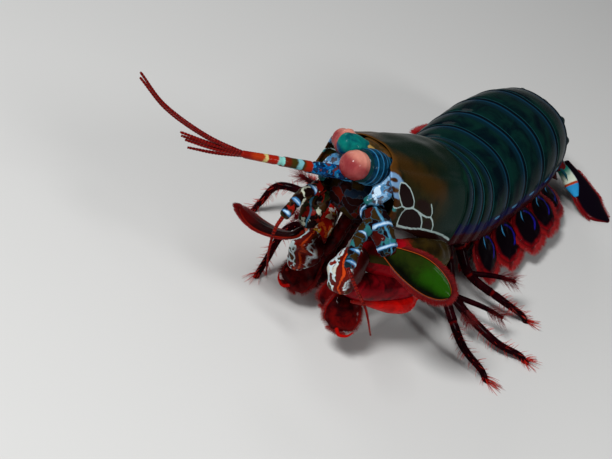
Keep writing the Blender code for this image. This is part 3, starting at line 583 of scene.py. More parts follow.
# cells of the pale front corner (middle, radii) and the pale bands between them
cornerCells = ((-1.9, 10.6, 1.45, 0.75), (-2.25, 7.9, 0.8, 1.1), (-0.95, 4.4, 1.7, 1.5),
               (0.3, 1.3, 1.6, 1.0))
cornerBands = (((-5.5, 10.8), (-3.4, 11.9), (-1.0, 11.6), (0.5, 10.3)),
               ((-5.5, 9.2), (-2.6, 9.3), (0.0, 9.4)),
               ((-5.0, 7.6), (-3.6, 6.4), (-2.2, 6.2), (-0.4, 6.4)), ((-3.8, 9.6), (-3.7, 6.4)))
carapaceStreak = ((1.3, 17.4), (6.0, 14.2), (12.4, 11.4), (17.0, 10.4))


def lineDistance(x, y, points):
    # Distance to the nearest segment of a line of points
    nearest = np.full(np.shape(x), farAway)
    for (ax, ay), (bx, by) in zip(points, points[1:]):
        dx, dy = bx - ax, by - ay
        t = (((x - ax) * dx + (y - ay) * dy) / max(dx * dx + dy * dy, 1e-9)).clip(0, 1)
        nearest = np.minimum(nearest, np.hypot(x - ax - t * dx, y - ay - t * dy))
    return nearest


def cellDepth(x, y, points):
    # Distance to a closed line, negative inside it by the even-odd rule
    loop = tuple(points) + (points[0],)
    inside = np.zeros(np.shape(x), bool)
    for (ax, ay), (bx, by) in zip(loop, loop[1:]):
        if ay != by:
            inside ^= ((ay > y) != (by > y)) & (x < ax + (y - ay) * (bx - ax) / (by - ay))
    return lineDistance(x, y, loop) * np.where(inside, -1, 1)


def carapaceSurface():
    # Loft between two body rings, wider in the middle by a sine. At each side the front edge
    # reaches forward by two bell curves of the angle. The masks are worked out on the shell
    # unrolled flat: x back from the front edge and y up from the lower margin, in mm.
    look = carapaceLook
    outline, theta = bodyOutline(look["columns"], look["under"], look["belly"], look["grooves"])
    front, rear = bodyRing("shield_front", 0.6, outline), bodyRing("shield_back", -0.2, outline)
    fold = np.minimum(theta, 180 - theta)
    middle = look["lobeAngle"]
    short = look["lobes"] * hump(fold, middle, np.where(fold < middle, 24, 34))
    reach = np.where(theta < 90, 1.0, 0.4) * look["corner"]
    lobes = short + reach * hump(fold, look["cornerAngle"], 22)
    front = front - np.where(theta >= 0, lobes, 0)[:, None] * frames["shield_front"][1]
    along = np.concatenate([look["frontRows"], np.linspace(0.02, 0.98, look["rows"]), look["rearRows"]])
    size = np.concatenate([look["frontSizes"], np.ones(look["rows"]), look["rearSizes"]])
    s = loft(front, rear, along, size * (1 + look["bulge"] * np.sin(np.pi * along.clip(0, 1))))
    fold, along = np.meshgrid(fold, along)
    length = look["length"]
    x = (length * along - lobes * (1 - along) + short) / (1 + short / length)
    y = fold * look["mmPerDegree"]

    def nearest(distance, shapes):
        # The least of the distances to the shapes
        return np.min([distance(x, y, points) for points in shapes], axis=0)
    corner = [(np.hypot((x - a) / p, (y - b) / q) - 1) * min(p, q) for a, b, p, q in cornerCells]
    painted = {"web": nearest(lineDistance, carapaceLines), "dark": nearest(cellDepth, darkCells),
               "brown": nearest(cellDepth, brownCells), "streak": lineDistance(x, y, carapaceStreak),
               "corner": np.min(corner, axis=0), "band": nearest(lineDistance, cornerBands),
               "patch": np.hypot(x + 0.8, (y - 2.75) * 2.2) - 1.4}
    for key, value in painted.items():
        s.masks[key] = np.where(fold < 0, farAway, value)
    # Below the lowest web line, where the margin rolls in, the material paints shade
    margin = np.interp(x, (3.8, 13, 20, 30), (0.2, 1.3, 1.6, 1.0))
    s.masks.update(low=np.where(fold < 0, 0, y - margin), rear=length - x, front=x, angle=fold)
    return pushOut(s, np.where(fold < 0, 0, 0.10 * waves(s.grid, 9, 3)))


carapaceMat = shellMaterial(
    "carapaceShell", (44, 38, 12), (19, 23, 9), size=6.0, contrast=0.18, specks=0.3,
    layers=(("rear", (8, 34, 28), 17, 4, 4, 6),
            ("angle", (8, 26, 16), 54, 84, 14, 5),
            ("streak", (58, 38, 11), 5.0, 0.2, 3.0, 2.6),
            ("front", (84, 52, 16), 1.4, -0.6, 1.6, 2),
            ("brown", (30, 11, 7), 0.3, -0.9, 0.7, 1.2),
            ("band", (120, 160, 200), 1.25, 0.5, 0.9, 1.4),
            ("patch", (46, 120, 122), 0.3, -0.5, 0.8, 1.0),
            ("corner", (62, 34, 12), 0.08, -0.35, 0.25, 0.8),
            ("dark", (22, 4, 4), 0.1, -0.2, 0.1, 0.8),
            # painted shade on the rolled-in lower margin
            ("low", (34, 10, 7), -0.1, -0.3, 0.1, 0.8),
            ("web", (176, 198, 196), 0.24, 0.13, 0.08, 0.8)),
    rough=0.24, coat=0.10, bump=0.06, ior=1.04)
makePiece("carapaceShield", carapaceSurface(), carapaceMat, "carapace")


rostralLook = {"path": ((0, 1.0, 5.55), (0, -1.2, 5.5), (0, -2.8, 5.3), (0, -4.0, 5.05),
                        (0, -4.7, 4.9)),
               "wide": (3.7, 3.5, 2.9, 1.9, 0.9), "thin": (0.5, 0.55, 0.5, 0.42, 0.3)}


def rostralSurface():
    # Rounded trapezoid plate, a flat oval swept forward over the eye bases
    look = rostralLook
    s = sweep(head(look["path"]), look["wide"], look["thin"], headUp, around=40)
    # Distance back from the tip, where the material paints a pale highlight
    s.masks["front"] = s.length - s.along
    return s


# Orange-brown plate with a painted highlight, pale beige, at its front end
rostralMat = shellMaterial("rostralPlate", (96, 62, 22), (48, 38, 14), size=2.0,
                           layers=(("front", (150, 120, 64), 0.8, 0.3, 0.4, 0.8),), rough=0.3, coat=0.2)
makePiece("rostralShield", rostralSurface(), rostralMat, "rostral_plate")
print("carapace ready")


# Free somites of thorax and abdomen

somiteLook = {
    "columns": 121, "under": 27, "bulge": 0.012, "gap": 0.15,
    "belly": {"thorax": 0.52, "abdomen": 0.28},
    "keels": {"abdomen_6": ((90, 0.03), (64, 0.05), (116, 0.05), (38, 0.05), (142, 0.05))},
    # share of the way back and size: tucked under the plate before, then the raised hind rim
    "tuckRows": (-0.08, -0.08, -0.08), "tuckSizes": (0.0, 0.5, 0.90),
    "neckRows": (-0.06, 0.05, 0.2), "neckSizes": (0.905, 0.95, 1.0),
    "rimRows": (0.91, 0.93, 0.95, 0.97, 0.985, 0.995, 1.0, 1.0, 0.985, 0.96, 0.93, 0.93, 0.93),
    "rimSizes": (1.001, 1.002, 1.006, 1.011, 1.014, 1.013, 1.008, 0.995, 0.98, 0.965, 0.955, 0.5, 0.0),
    "dash": {"back": 0.52, "angle": 13, "mmPerDegree": 0.27, "halfLength": 2.2, "halfHeight": 0.42},
}


def somiteSurface(name, before, kind):
    # Loft from one joint plane to the next: size rises out of the plate before, swells by a
    # sine, and ends in a raised rim rolled in to a pole
    look, dash = somiteLook, somiteLook["dash"]
    outline, theta = bodyOutline(look["columns"], look["under"], look["belly"][kind],
                                 look["keels"].get(name, ()))
    centres = frames[before][0], frames[name][0]
    neck, middle = np.linspace(-0.06, 0.2, 10), np.linspace(0.24, 0.88, 18)
    along = np.concatenate([look["tuckRows"], neck, middle, look["rimRows"]])
    size = np.concatenate([look["tuckSizes"], np.interp(neck, look["neckRows"], look["neckSizes"]),
                           1 + look["bulge"] * np.sin(np.pi * (middle - 0.2) / 0.7), look["rimSizes"]])
    s = loft(bodyRing(before, look["gap"], outline), bodyRing(name, -look["gap"], outline), along, size,
             centres)
    length = np.linalg.norm(centres[1] - centres[0])
    fold, along = np.meshgrid(np.minimum(theta, 180 - theta), along)
    x, y = along * length - length * dash["back"], (fold - dash["angle"]) * dash["mmPerDegree"]
    spot = np.sqrt((x / dash["halfLength"]) ** 2 + (y / dash["halfHeight"]) ** 2) - 1
    s.masks.update(rear=(1 - along) * length, angle=fold, under=np.where(fold < 0, 1.0, 0.0),
                   dash=np.where((fold < 0) | (kind == "thorax"), farAway, spot))
    return s


somiteLayers = (
    ("rear", (6, 32, 42), 4.8, 3.0, 1.0, 3), ("rear", (10, 50, 72), 2.4, 1.9, 0.6, 2),
    ("rear", (4, 11, 18), 1.5, 1.2, 0.3, 2), ("rear", (22, 66, 72), 0.36, 0.22, 0.1, 1),
    ("angle", (62, 10, 12), 12, 2, 5, 2), ("angle", (14, 14, 56), 17, 13, 4, 2.5),
    ("angle", (46, 8, 12), 9, 6, 3, 2), ("dash", (60, 120, 160), -0.05, -0.3, 0.3, 0.8),
    ("under", (120, 62, 52), 0.4, 0.6, 0.3, 2))
somiteMats = {
    kind: shellMaterial(kind + "Plates", light, dark, size=size, contrast=0.16, layers=somiteLayers,
                        coat=0.09, bump=0.06, ior=1.035)
    for kind, light, dark, size in (("thorax", (13, 40, 30), (5, 20, 18), 5),
                                    ("abdomen", (8, 38, 34), (3, 15, 22), 6))}
order = ("shield_back", "thorax_6", "thorax_7", "thorax_8", *(row[0] for row in tailward))
for before, name in zip(order, order[1:]):
    kind = name.split("_")[0]
    makePiece(name + "_plate", somiteSurface(name, before, kind), somiteMats[kind], name)
print("somites ready")


# Telson: domed plate with keels, teeth at its rear edge beside a narrow cleft

telsonLook = {
    "length": 16.5, "halfWidth": 11.2, "turn": (-2.0, -34.0, 7.6), "across": 181, "along": 44,
    # place as a share of the half width, reach as a share of the length, half width
    "teeth": ((0.215, 0.17, 0.15), (0.57, 0.14, 0.15), (0.93, 0.09, 0.13)),
    "fineTeeth": 0.02,
    # place as a share of the half width, height in mm
    "keels": ((0.0, 1.1), (0.16, 0.4), (0.30, 0.8), (0.45, 0.4), (0.58, 0.7), (0.80, 0.5)),
    "keelWidth": 0.05, "crown": 5.0, "edgeHeight": 1.0, "thickness": 1.5,
}


def telsonSurface():
    # Top: width across, reach along, crown up, where the crown is a dome with keels; the
    # underside lies below. A ring runs along the top and back below, and is carried across.
    look = telsonLook
    centre, _, left, _ = frames["abdomen_6"][:4]
    tail = directionFrame(*look["turn"])[0]
    up = unit(np.cross(left, tail))
    a = np.linspace(-1, 1, look["across"])
    teeth = sum(h * np.clip(1 - np.abs(np.abs(a) - c) / w, 0, 1) ** 1.3 for c, h, w in look["teeth"])
    fine = look["fineTeeth"] * np.abs(np.sin(a * 44)) * (np.abs(a) > 0.12) * (np.abs(a) < 0.8)
    rear = 0.93 - 0.40 * np.abs(a) ** 2.4 + teeth + fine
    keels = sum(h * hump(np.abs(a), c, look["keelWidth"]) for c, h in look["keels"])
    tt, aa = np.meshgrid(np.linspace(0, 1, look["along"]), a)
    width = look["halfWidth"] * (0.96 + 0.12 * np.sin(np.pi * tt) - 0.12 * tt)
    reach = look["length"] * tt * rear[:, None] + 0.3
    dome = (look["edgeHeight"] + look["crown"] * (1 - tt) ** 1.5) * np.sqrt(1 - 0.93 * aa ** 2)
    crown = dome + keels[:, None] * np.sin(np.pi * (0.06 + 0.84 * tt)) - 0.6
    under = (-look["thickness"] - 0.7 * (1 - aa ** 2) * (1 - tt)
             + 0.9 * np.clip((tt - 0.7) / 0.3, 0, 1) ** 2)
    crown = crown - 0.25 * np.clip((tt - 0.9) / 0.1, 0, 1) ** 2
    base = centre + (aa * width)[..., None] * left + reach[..., None] * tail
    top, bottom = base + crown[..., None] * up, base + under[..., None] * up
    ring = np.concatenate([top, bottom[:, ::-1]], axis=1)
    poles = [np.broadcast_to(ring[k].mean(axis=0), ring[:1].shape) for k in (0, -1)]
    s = Surface(np.concatenate([poles[0], ring, poles[1]]))
    edge = (1 - tt) * look["length"] * rear[:, None]
    for key, above, below in (("edge", edge, edge[:, ::-1]), ("keel", keels[:, None] + 0 * tt, 0 * tt)):
        mask = np.concatenate([above, below], axis=1)
        s.masks[key] = np.concatenate([mask[:1], mask, mask[-1:]])
    return s


telsonMat = shellMaterial("telsonPlate", (18, 58, 46), (6, 22, 28), size=4, contrast=0.16,
                          layers=(("keel", (36, 100, 92), 0.45, 0.95, 0.3, 2),
                                  ("edge", (14, 74, 110), 4.6, 2.6, 1.4, 2),
                                  ("edge", (140, 26, 14), 1.5, 0.7, 0.4, 1)), rough=0.3, coat=0.2)
makePiece("telsonPlate", telsonSurface(), telsonMat, "telson")


# Head and the block behind it

blockLook = {
    # distance tailward, height of the middle, half width, half height
    "head": {"sizes": ((-4.0, -1.8, 3.0, 2.0), (-3.2, -2.0, 3.8, 2.8), (-1.0, -2.9, 5.2, 4.6),
                       (3.0, -4.6, 6.8, 6.0), (8.0, -5.4, 7.4, 5.6), (10.8, -5.6, 7.2, 5.0)),
             "relief": 0.25, "grain": 4.5, "seed": 11},
    "trunk": {"sizes": ((11.5, -5.6, 7.1, 4.9), (17.0, -5.8, 7.6, 4.8), (24.0, -6.0, 8.4, 4.6),
                        (31.4, -6.0, 8.8, 4.4)), "relief": 0.2, "grain": 5, "seed": 12},
}


def blockSurface(name):
    # An oval with rounded corners carried tailward, with soft waves
    look = blockLook[name]
    d = np.array(look["sizes"], float)
    line = head(np.column_stack([0 * d[:, 0], d[:, 0], d[:, 1]]))
    s = sweep(line, d[:, 2], d[:, 3], headUp, around=72, power=0.8, perSpan=10, ends=(0.5, 0.2))
    return pushOut(s, look["relief"] * waves(s.grid, look["grain"], look["seed"]))


# The head's skin is near black without coat: partly its own dark colour with a network of cells, partly
# painted shade where the head lies between the raptorial limbs and the antenna bases
headShadeMat = shellMaterial("headSkinInShade", (60, 16, 8), (18, 5, 6), size=2.5,
                        net=(2.6, 0.04, 0.9, (40, 46, 54), (0.0, (20, 7, 7)), (0.40, (70, 16, 8)),
                             (0.56, (36, 28, 10)), (0.76, (10, 34, 50)), (0.90, (26, 8, 8))),
                        rough=0.5, coat=0.0, ior=1.03)
makePiece("headBlock", blockSurface("head"), headShadeMat, "head")
trunkMat = shellMaterial("trunkSkin", (96, 36, 24), (46, 10, 10), size=3, rough=0.4, coat=0.2)
makePiece("trunkBlock", blockSurface("trunk"), trunkMat, "thorax_5")


# Eyes: ringed stalk and smooth cornea

eyeLook = {
    "left": {"stalk": (((3.4, 1.0, 2.4), (2.4, -4.4, 2.0), (1.7, -7.6, 1.5)), (2.8, 3.7, 3.25)),
             "cornea": (((1.6, -8.1, 1.45), (1.3, -9.1, 1.2), (1.05, -10.0, 1.05)), (2.85, 3.05, 2.85)),
             "ringEvery": 1.3, "ringHeight": 0.06, "stalkEnd": 0.35},
    "right": {"stalk": (((-1.5, -3.6, 3.7), (-3.0, -5.2, 3.2), (-4.2, -6.4, 2.9)), (2.0, 2.5, 2.3)),
              "cornea": (((-4.5, -4.9, 3.0), (-5.3, -4.9, 2.9), (-6.3, -4.7, 2.8)), (2.5, 2.75, 2.2)),
              "ringEvery": 0.85, "ringHeight": 0.01, "stalkEnd": 0.8},
    "paleSide": 285, "bandOffset": 0.5, "bandWidth": 0.35, "bandDepth": 0.03, "lineEvery": 0.5,
}


def stalkSurface(side):
    # Swept oval with rings: radius + a cosine of the way back from the tip
    look = eyeLook[side]
    path, radii = look["stalk"]
    s = sweep(head(path), radii, radii, headUp, perSpan=28, around=64, ends=(0.6, look["stalkEnd"]))
    toTip = s.length - s.along
    rings = ripple(toTip, look["ringEvery"])
    s.masks.update(ring=rings, cup=toTip, low=turnFrom(s.turn, eyeLook["paleSide"]))
    return pushOut(s, look["ringHeight"] * rings)


def corneaSurface(side):
    # Swept oval whose radii bulge towards the front; the middle band is a shallow groove
    path, radii = eyeLook[side]["cornea"]
    path = head(path)
    s = sweep(path, radii, radii, headUp, perSpan=14, around=72, ends=(0.6, 0.82))
    middle = s.grid.mean(axis=(0, 1))
    axis = unit(path[2] - path[0])
    lean = unit(0.75 * headUp + 0.66 * frames["shield_front"][2])
    lean = unit(lean - axis * (lean @ axis))
    offset = (s.grid - middle) @ lean
    band = offset + eyeLook["bandOffset"]
    # Height below the middle: the material paints shade below it and a pale highlight above it
    s.masks.update(lowSide=-(s.grid - middle) @ headUp,
                   lines=ripple(offset, eyeLook["lineEvery"]) - 0.55 * np.abs(band))
    return pushOut(s, -eyeLook["bandDepth"] * hump(band, 0, eyeLook["bandWidth"]))


stalkMats = {
    "left": shellMaterial("eyeStalkLeft", (10, 58, 80), (4, 26, 48), size=2, contrast=0.2,
                          layers=(("low", (60, 110, 140), 36, 12, 26, 1.0),
                                  ("ring", (40, 108, 150), 0.62, 0.95, 0.5, 1.0),
                                  ("cup", (8, 40, 44), 0.5, 0.0, 0.2, 1.0)), rough=0.28, coat=0.2),
    "right": shellMaterial("eyeStalkRight", (10, 120, 108), (4, 62, 74), size=3, contrast=0.25,
                           layers=(("low", (8, 60, 96), 60, 20, 26, 1.0),), rough=0.28, coat=0.2)}
# Its first two layers paint shade on the lower side and a pale highlight on the upper side
corneaMat = shellMaterial("eyeCornea", (158, 76, 74), (126, 46, 50), size=4, contrast=0.25, specks=0.1,
                          layers=(("lowSide", (116, 30, 34), 0.6, 3.0, 1.2, 1.0),
                                  ("lowSide", (196, 128, 112), -0.4, -2.6, 1.0, 1.0),
                                  ("lines", (108, 30, 30), 0.55, 0.95, 0.2, 0.6)),
                          rough=0.2, spread=0.06, coat=0.3, bump=0.04, subsurface=0.05)
for side, _ in sides:
    makePiece("stalk_" + side, stalkSurface(side), stalkMats[side], "eyestalk_" + side)
    makePiece("cornea_" + side, corneaSurface(side), corneaMat, "eye_" + side)


# Cheek plates beside the eye stalks, pale with small brown cells

cheekLook = {
    "path": ((6.1, -2.8, 2.5), (6.6, -3.2, 0.9), (7.0, -3.6, -0.8), (6.8, -4.2, -2.4),
             (6.1, -5.2, -3.8)),
    "rightShift": (1.2, 1.0, -2.6), "wide": (0.8, 1.8, 2.1, 1.6, 0.7),
    "thin": (0.6, 0.9, 1.0, 0.9, 0.6),
}


def cheekSurface(mirror):
    # A flat oval swept down beside the eye, set lower on the right where the head turns away
    look = cheekLook
    path = np.array(look["path"]) * [mirror, 1, 1] + (np.array(look["rightShift"]) if mirror < 0 else 0)
    facing = frames["shield_front"][2] * 0.5 * mirror - frames["shield_front"][1] * 0.9
    s = sweep(head(path), look["wide"], look["thin"], facing, perSpan=14, around=48)
    pushOut(s, 0.18 * waves(s.grid, 2.0, 41))
    s.masks["along"] = s.along / s.length
    return s


cheekMat = shellMaterial("cheekPlate", (120, 160, 196), (40, 90, 140), size=1.3, contrast=0.12,
                         net=(1.1, 0.05, 1.1, (84, 130, 168), (0.0, (128, 166, 198)),
                              (0.26, (60, 38, 18)), (0.42, (96, 144, 178)), (0.60, (186, 208, 222)),
                              (0.74, (60, 112, 150)), (0.88, (90, 70, 44))),
                         layers=(("along", (24, 84, 84), 0.78, 1.0, 0.5, 0.8),))
for side, mirror in sides:
    makePiece("cheek_" + side, cheekSurface(mirror), cheekMat)


# Antennules: jointed stalk and three ringed threads

antennuleLook = {
    "left": {"path": ((1.6, -2.0, -1.6), (-1.8, -6.5, -2.5), (-5.1, -12.0, -4.2), (-7.6, -18.5, -5.4),
                      (-12.4, -25.5, -7.9)),
             "threads": (((-17.6, -32.0, -8.2), (-24.0, -40.0, -6.9), (-28.1, -46.6, -3.6)),
                         ((-16.6, -30.0, -9.2), (-21.2, -34.5, -10.3)),
                         ((-16.2, -29.0, -9.9), (-20.6, -32.4, -11.4)))},
    "right": {"path": ((-2.4, -1.0, -2.6), (-3.5, -2.6, -3.5), (-6.6, -8.0, -5.1), (-9.1, -14.6, -6.3),
                       (-13.9, -21.5, -8.8)),
              "threads": (((-19.2, -28.0, -9.4), (-25.4, -36.0, -8.4), (-30.0, -42.6, -5.4)),
                          ((-18.2, -26.0, -10.4), (-22.8, -30.5, -11.8)),
                          ((-17.6, -25.0, -11.4), (-21.6, -28.0, -13.4)))},
    "wide": (1.4, 1.45, 1.2, 0.95, 0.72), "high": (1.35, 1.35, 1.15, 0.9, 0.68), "joints": (0.43, 0.71),
    "threadRadius": (0.46, 0.24), "ringEvery": 0.62, "ringHeight": 0.035,
}


def antennuleSurfaces(side):
    # Tapering stalk, pinched and swollen by bell curves at its joints, and three ringed threads
    look = antennuleLook
    path = head(look[side]["path"])

    def joints(u):
        # Radius at share u: less in each joint and more just before it
        dip = sum(hump(u, j, 0.012) for j in look["joints"])
        swell = sum(hump(u, j - 0.04, 0.03) for j in look["joints"])
        return (1 - 0.20 * dip + 0.07 * swell)[:, None]
    body = sweep(path, look["wide"], look["high"], headUp, perSpan=26, around=36, shape=joints)
    body.masks.update(along=body.along / body.length, thread=0)
    parts = [body]
    start = path[-1] + (path[-2] - path[-1]) * 0.06
    for thread in look[side]["threads"]:
        line = np.vstack([start, head(thread)])
        radius = np.linspace(*look["threadRadius"], len(line))
        s = sweep(line, radius, radius, headUp, perSpan=40, around=10)
        rings = ripple(s.along, look["ringEvery"])
        s.masks.update(along=1.0, thread=1 + rings)
        parts.append(pushOut(s, look["ringHeight"] * rings))
    return parts


antennuleMat = shellMaterial(
    "antennuleBanded", (24, 92, 150), (6, 40, 84), size=1.6, contrast=0.10,
    net=(1.0, 0.06, 1.2, (6, 22, 44), (0.0, (6, 36, 76)), (0.30, (10, 84, 150)), (0.50, (56, 142, 190)),
         (0.60, (8, 30, 54)), (0.80, (14, 104, 160)), (0.92, (96, 36, 14))),
    layers=(("along", (140, 30, 10), 0.435, 0.45, 0.05, 1.0),
            ("along", (60, 44, 14), 0.50, 0.525, 0.03, 1.0),
            ("along", (116, 176, 184), 0.53, 0.542, 0.04, 1.0),
            ("along", (56, 48, 14), 0.575, 0.60, 0.05, 1.0),
            ("along", (90, 26, 10), 0.63, 0.66, 0.05, 1.0),
            ("along", (120, 184, 176), 0.69, 0.70, 0.03, 1.0),
            ("along", (140, 24, 10), 0.735, 0.75, 0.04, 1.0),
            ("along", (180, 170, 110), 0.812, 0.824, 0.03, 1.0),
            ("along", (150, 44, 12), 0.838, 0.86, 0.05, 1.0),
            ("along", (120, 18, 10), 0.91, 0.97, 0.03, 1.0), ("thread", (84, 7, 8), 0.5, 0.9, 0.1, 1.0),
            ("thread", (120, 20, 14), 1.7, 1.95, 0.1, 1.0)))
for side, _ in sides:
    makePiece("antennuleStalk_" + side, antennuleSurfaces(side), antennuleMat,
              "antennule_" + side)
print("head and antennules ready")


# Antennae: base with its stem, leaf-shaped scale and whip

antennaLook = {
    # hoopsOff: mm added to the distance from the base's hoops, which leaves them off
    "left": {"base": ((4.0, 1.0, -5.5), (8.6, -2.0, -5.8), (12.2, -3.0, -7.2), (15.0, -3.0, -9.0)),
             "stem": ((9.0, -3.0, -6.4), (10.6, -8.0, -10.2), (13.4, -11.6, -14.4)),
             "whip": ((13.8, -12.0, -15.0), (17.6, -12.4, -16.8), (21.7, -12.0, -18.9),
                      (25.2, -11.0, -22.4)),
             "scale": ((14.7, -3.1, -9.4), (18.4, -1.5, -9.25), (22.1, 0.1, -9.1), (25.4, 2.45, -9.5),
                       (28.7, 4.8, -9.9)),
             "facing": viewNormal, "hoopsOff": 0},
    "right": {"base": ((-3.6, 1.6, -5.6), (-4.6, -0.2, -8.8), (-3.9, -1.6, -12.4), (-2.6, -2.4, -15.6)),
              "stem": ((-4.8, -1.0, -7.4), (-4.2, -9.0, -10.2), (-3.3, -13.0, -14.9)),
              "whip": ((-3.2, -13.4, -15.5), (-2.8, -14.0, -18.0), (-1.8, -13.2, -22.0),
                       (0.1, -11.0, -27.4)),
              "scale": ((-2.5, -2.7, -17.7), (-3.6, -3.5, -19.8), (-6.8, -4.5, -21.5),
                        (-10.7, -5.0, -22.3), (-15.3, -5.6, -22.0)),
              "facing": (-0.11, 0.25, 0.96), "hoopsOff": 9},
    "baseWide": (2.4, 2.7, 2.6, 2.2), "baseHigh": (2.3, 2.5, 2.4, 1.9),
    "baseJoints": (0.30, 0.66, 0.97),
    "stemWide": (1.5, 1.3, 1.1), "stemHigh": (1.4, 1.25, 1.05), "stemJoints": (0.42, 0.76, 0.98),
    "seams": (20, 130, 255), "whipRadii": (0.42, 0.36, 0.26, 0.14), "ringEvery": 0.6,
    "ringHeight": 0.035,
    "scaleHalfWidth": 3.3, "scaleHalfThick": (0.77, 0.605, 0.495, 0.44, 0.33), "widest": 0.56,
    "setae": 1100,
}


def bladeEdge(s):
    # Distance in mm from a flat sweep's margin: in from both sides and back from its tip
    sideways = (1 - np.abs(np.cos(np.radians(s.turn)))) * withEnds(s.radii[:, :1])
    return np.minimum(sideways, s.length + s.radii[-1].min() - s.along)


def alongLine(s, at):
    # Middle, side, tangent and lift of a sweep at distances along it
    picked = (np.stack([np.interp(at, s.steps, rows[:, i]) for i in range(3)], -1)
              for rows in (s.line, s.side, s.tangent, s.lift))
    line, *directions = picked
    return line, *(unit(d) for d in directions)


def marginRoots(s, count, start, tipShare):
    # Roots along one side of a flat sweep, round its tip and back along the other side:
    # middle + 0.96 wide cos(phi) side + half the thickness sin(phi) forward
    u = (np.arange(count) + rng.uniform(-0.5, 0.5, count) * 0.8) / count
    u = u.clip(0, 1)
    onSide = (1 - tipShare) / 2
    w = np.where(u < onSide, u / onSide, np.where(u > 1 - onSide, (1 - u) / onSide, 1.0))
    w = (start + (1 - start) * w) * s.length
    phi = np.interp(u, [0, onSide, 1 - onSide, 1], [0, 0, np.pi, np.pi])
    line, side, tangent, _ = alongLine(s, w)
    wide, thin = (np.interp(w, s.steps, s.radii[:, i])[:, None] for i in (0, 1))
    reach, forward = np.cos(phi)[:, None], tangent * np.sin(phi)[:, None]
    roots = line + side * wide * reach * 0.96 + forward * thin * 0.5
    away = unit(side * reach * wide + forward * wide)
    around = np.where(reach[:, 0] > 0, 0.0, 0.5)
    return roots, away, tangent, np.column_stack([around, 0.02 + 0.96 * w / s.length])


def scaleSurface(side):
    # A leaf: half width rises as a sine to past the middle and falls as an ellipse to the tip;
    # a bell curve raises its midrib and another sinks a line inside its margin
    look = antennaLook
    widest = look["widest"]

    def leaf(u):
        # Half width and thickness at share u
        rise, fall = 0.36 + 0.64 * np.sin(np.pi / 2 * u / widest), 1 - ((u - widest) / 0.45) ** 2
        return np.column_stack([np.where(u < widest, rise, np.sqrt(fall.clip(0.05))), 1 + 0 * u])
    s = sweep(head(look[side]["scale"]), (look["scaleHalfWidth"],) * 5, look["scaleHalfThick"],
              look[side]["facing"], perSpan=26, around=48, power=0.9, shape=leaf)
    across = np.cos(np.radians(s.turn))
    pushOut(s, 0.10 * hump(across, 0, 0.10) - 0.08 * hump(np.abs(across), 0.86, 0.05))
    s.masks.update(edge=bladeEdge(s), across=across, along=s.along / s.length)
    return s


def antennaArm(side):
    # Base and stem: swept ovals with pale hoops at their joints, each just before a narrow
    # groove, and seams along the base. The hoops fade on the stem's underside.
    look = antennaLook
    base = sweep(head(look[side]["base"]), look["baseWide"], look["baseHigh"], headUp, perSpan=22,
                 around=52)
    stem = sweep(head(look[side]["stem"]), look["stemWide"], look["stemHigh"], headUp, perSpan=26,
                 around=32)
    for limb, joints in ((base, look["baseJoints"]), (stem, look["stemJoints"])):
        gaps = np.array([limb.along - j * limb.length for j in joints])
        under = 0.4 * (1 - np.sin(np.radians(limb.turn + 20)))
        fade = look[side]["hoopsOff"] if limb is base else under
        hoop = np.abs(gaps).min(axis=0) + fade
        seams = [turnFrom(limb.turn, a) * np.pi / 180 * limb.radii.mean() for a in look["seams"]]
        seam = np.min(seams, axis=0) + np.where(gaps[0] < 0, 9, 0) + (9 if limb is stem else 0)
        limb.masks.update(hoop=hoop, seam=seam)
        pushOut(limb, 0.16 * waves(limb.grid, 2.6, 21) + 0.08 * hump(hoop, 0, 0.6)
                - 0.30 * hump(gaps, 0.75, 0.22).sum(axis=0))
    return [base, stem]


def whipSurface(side):
    # Thin ringed cone: radius + a cosine of the way along
    look = antennaLook
    whip = sweep(head(look[side]["whip"]), look["whipRadii"], look["whipRadii"], (0.3, -1.0, 0.3),
                 perSpan=36, around=12)
    whip.masks["ring"] = ripple(whip.along, look["ringEvery"])
    return pushOut(whip, look["ringHeight"] * whip.masks["ring"])


baseLayers = (("seam", (60, 120, 150), 0.40, 0.10, 0.6, 1.2),
              ("seam", (150, 184, 214), 0.10, -0.10, 0.6, 1.8),
              ("hoop", (50, 104, 150), 0.56, 0.30, 0.6, 1.4),
              ("hoop", (170, 198, 220), 0.38, 0.04, 0.9, 1.3))
baseMats = {
    "left": shellMaterial("antennaBaseLeft", (44, 14, 9), (16, 6, 6), size=2.0,
                          net=(2.3, 0.03, 0.6, (40, 80, 96), (0.0, (14, 6, 8)), (0.36, (48, 34, 12)),
                               (0.56, (64, 12, 8)), (0.76, (12, 36, 46)), (0.92, (40, 110, 112))),
                          layers=baseLayers, coat=0.15, ior=1.04),
    "right": shellMaterial("antennaBaseRight", (44, 14, 9), (16, 6, 6), size=2.0,
                           net=(1.8, 0.03, 1.2, (40, 20, 14), (0.0, (16, 6, 6)), (0.30, (56, 36, 16)),
                                (0.50, (130, 20, 10)), (0.66, (30, 40, 20)), (0.76, (190, 196, 176)),
                                (0.88, (60, 16, 9))),
                           layers=baseLayers, coat=0.15, ior=1.04)}
scaleMats = {
    "left": shellMaterial("antennaScaleLeft", (30, 40, 8), (14, 24, 6), size=3.5, specks=0.1,
                          layers=(("along", (26, 66, 6), 0.36, 0.72, 0.4, 3),
                                  ("across", (5, 6, 3), 0.0, -0.75, 0.6, 3),
                                  ("edge", (14, 8, 4), 0.42, 0.26, 0.1, 1.0),
                                  ("edge", (150, 66, 20), 0.20, 0.12, 0.05, 1.0)), coat=0.12, ior=1.04),
    "right": shellMaterial("antennaScaleRight", (40, 8, 8), (12, 3, 5), size=3, specks=0.1,
                           layers=(("along", (84, 6, 6), 0.62, 0.95, 0.2, 2),
                                   ("edge", (120, 24, 10), 0.24, 0.12, 0.05, 1.0)), coat=0.1, ior=1.04)}
whipMat = shellMaterial("antennaWhip", (104, 10, 8), (60, 4, 6), size=1.2, rough=0.35, coat=0.2,
                        layers=(("ring", (150, 40, 20), 0.7, 0.95, 0.1, 1.0),))
fringeRed = hairMaterial("fringeRed", (70, 3, 5), (140, 14, 14), (40, 2, 6))
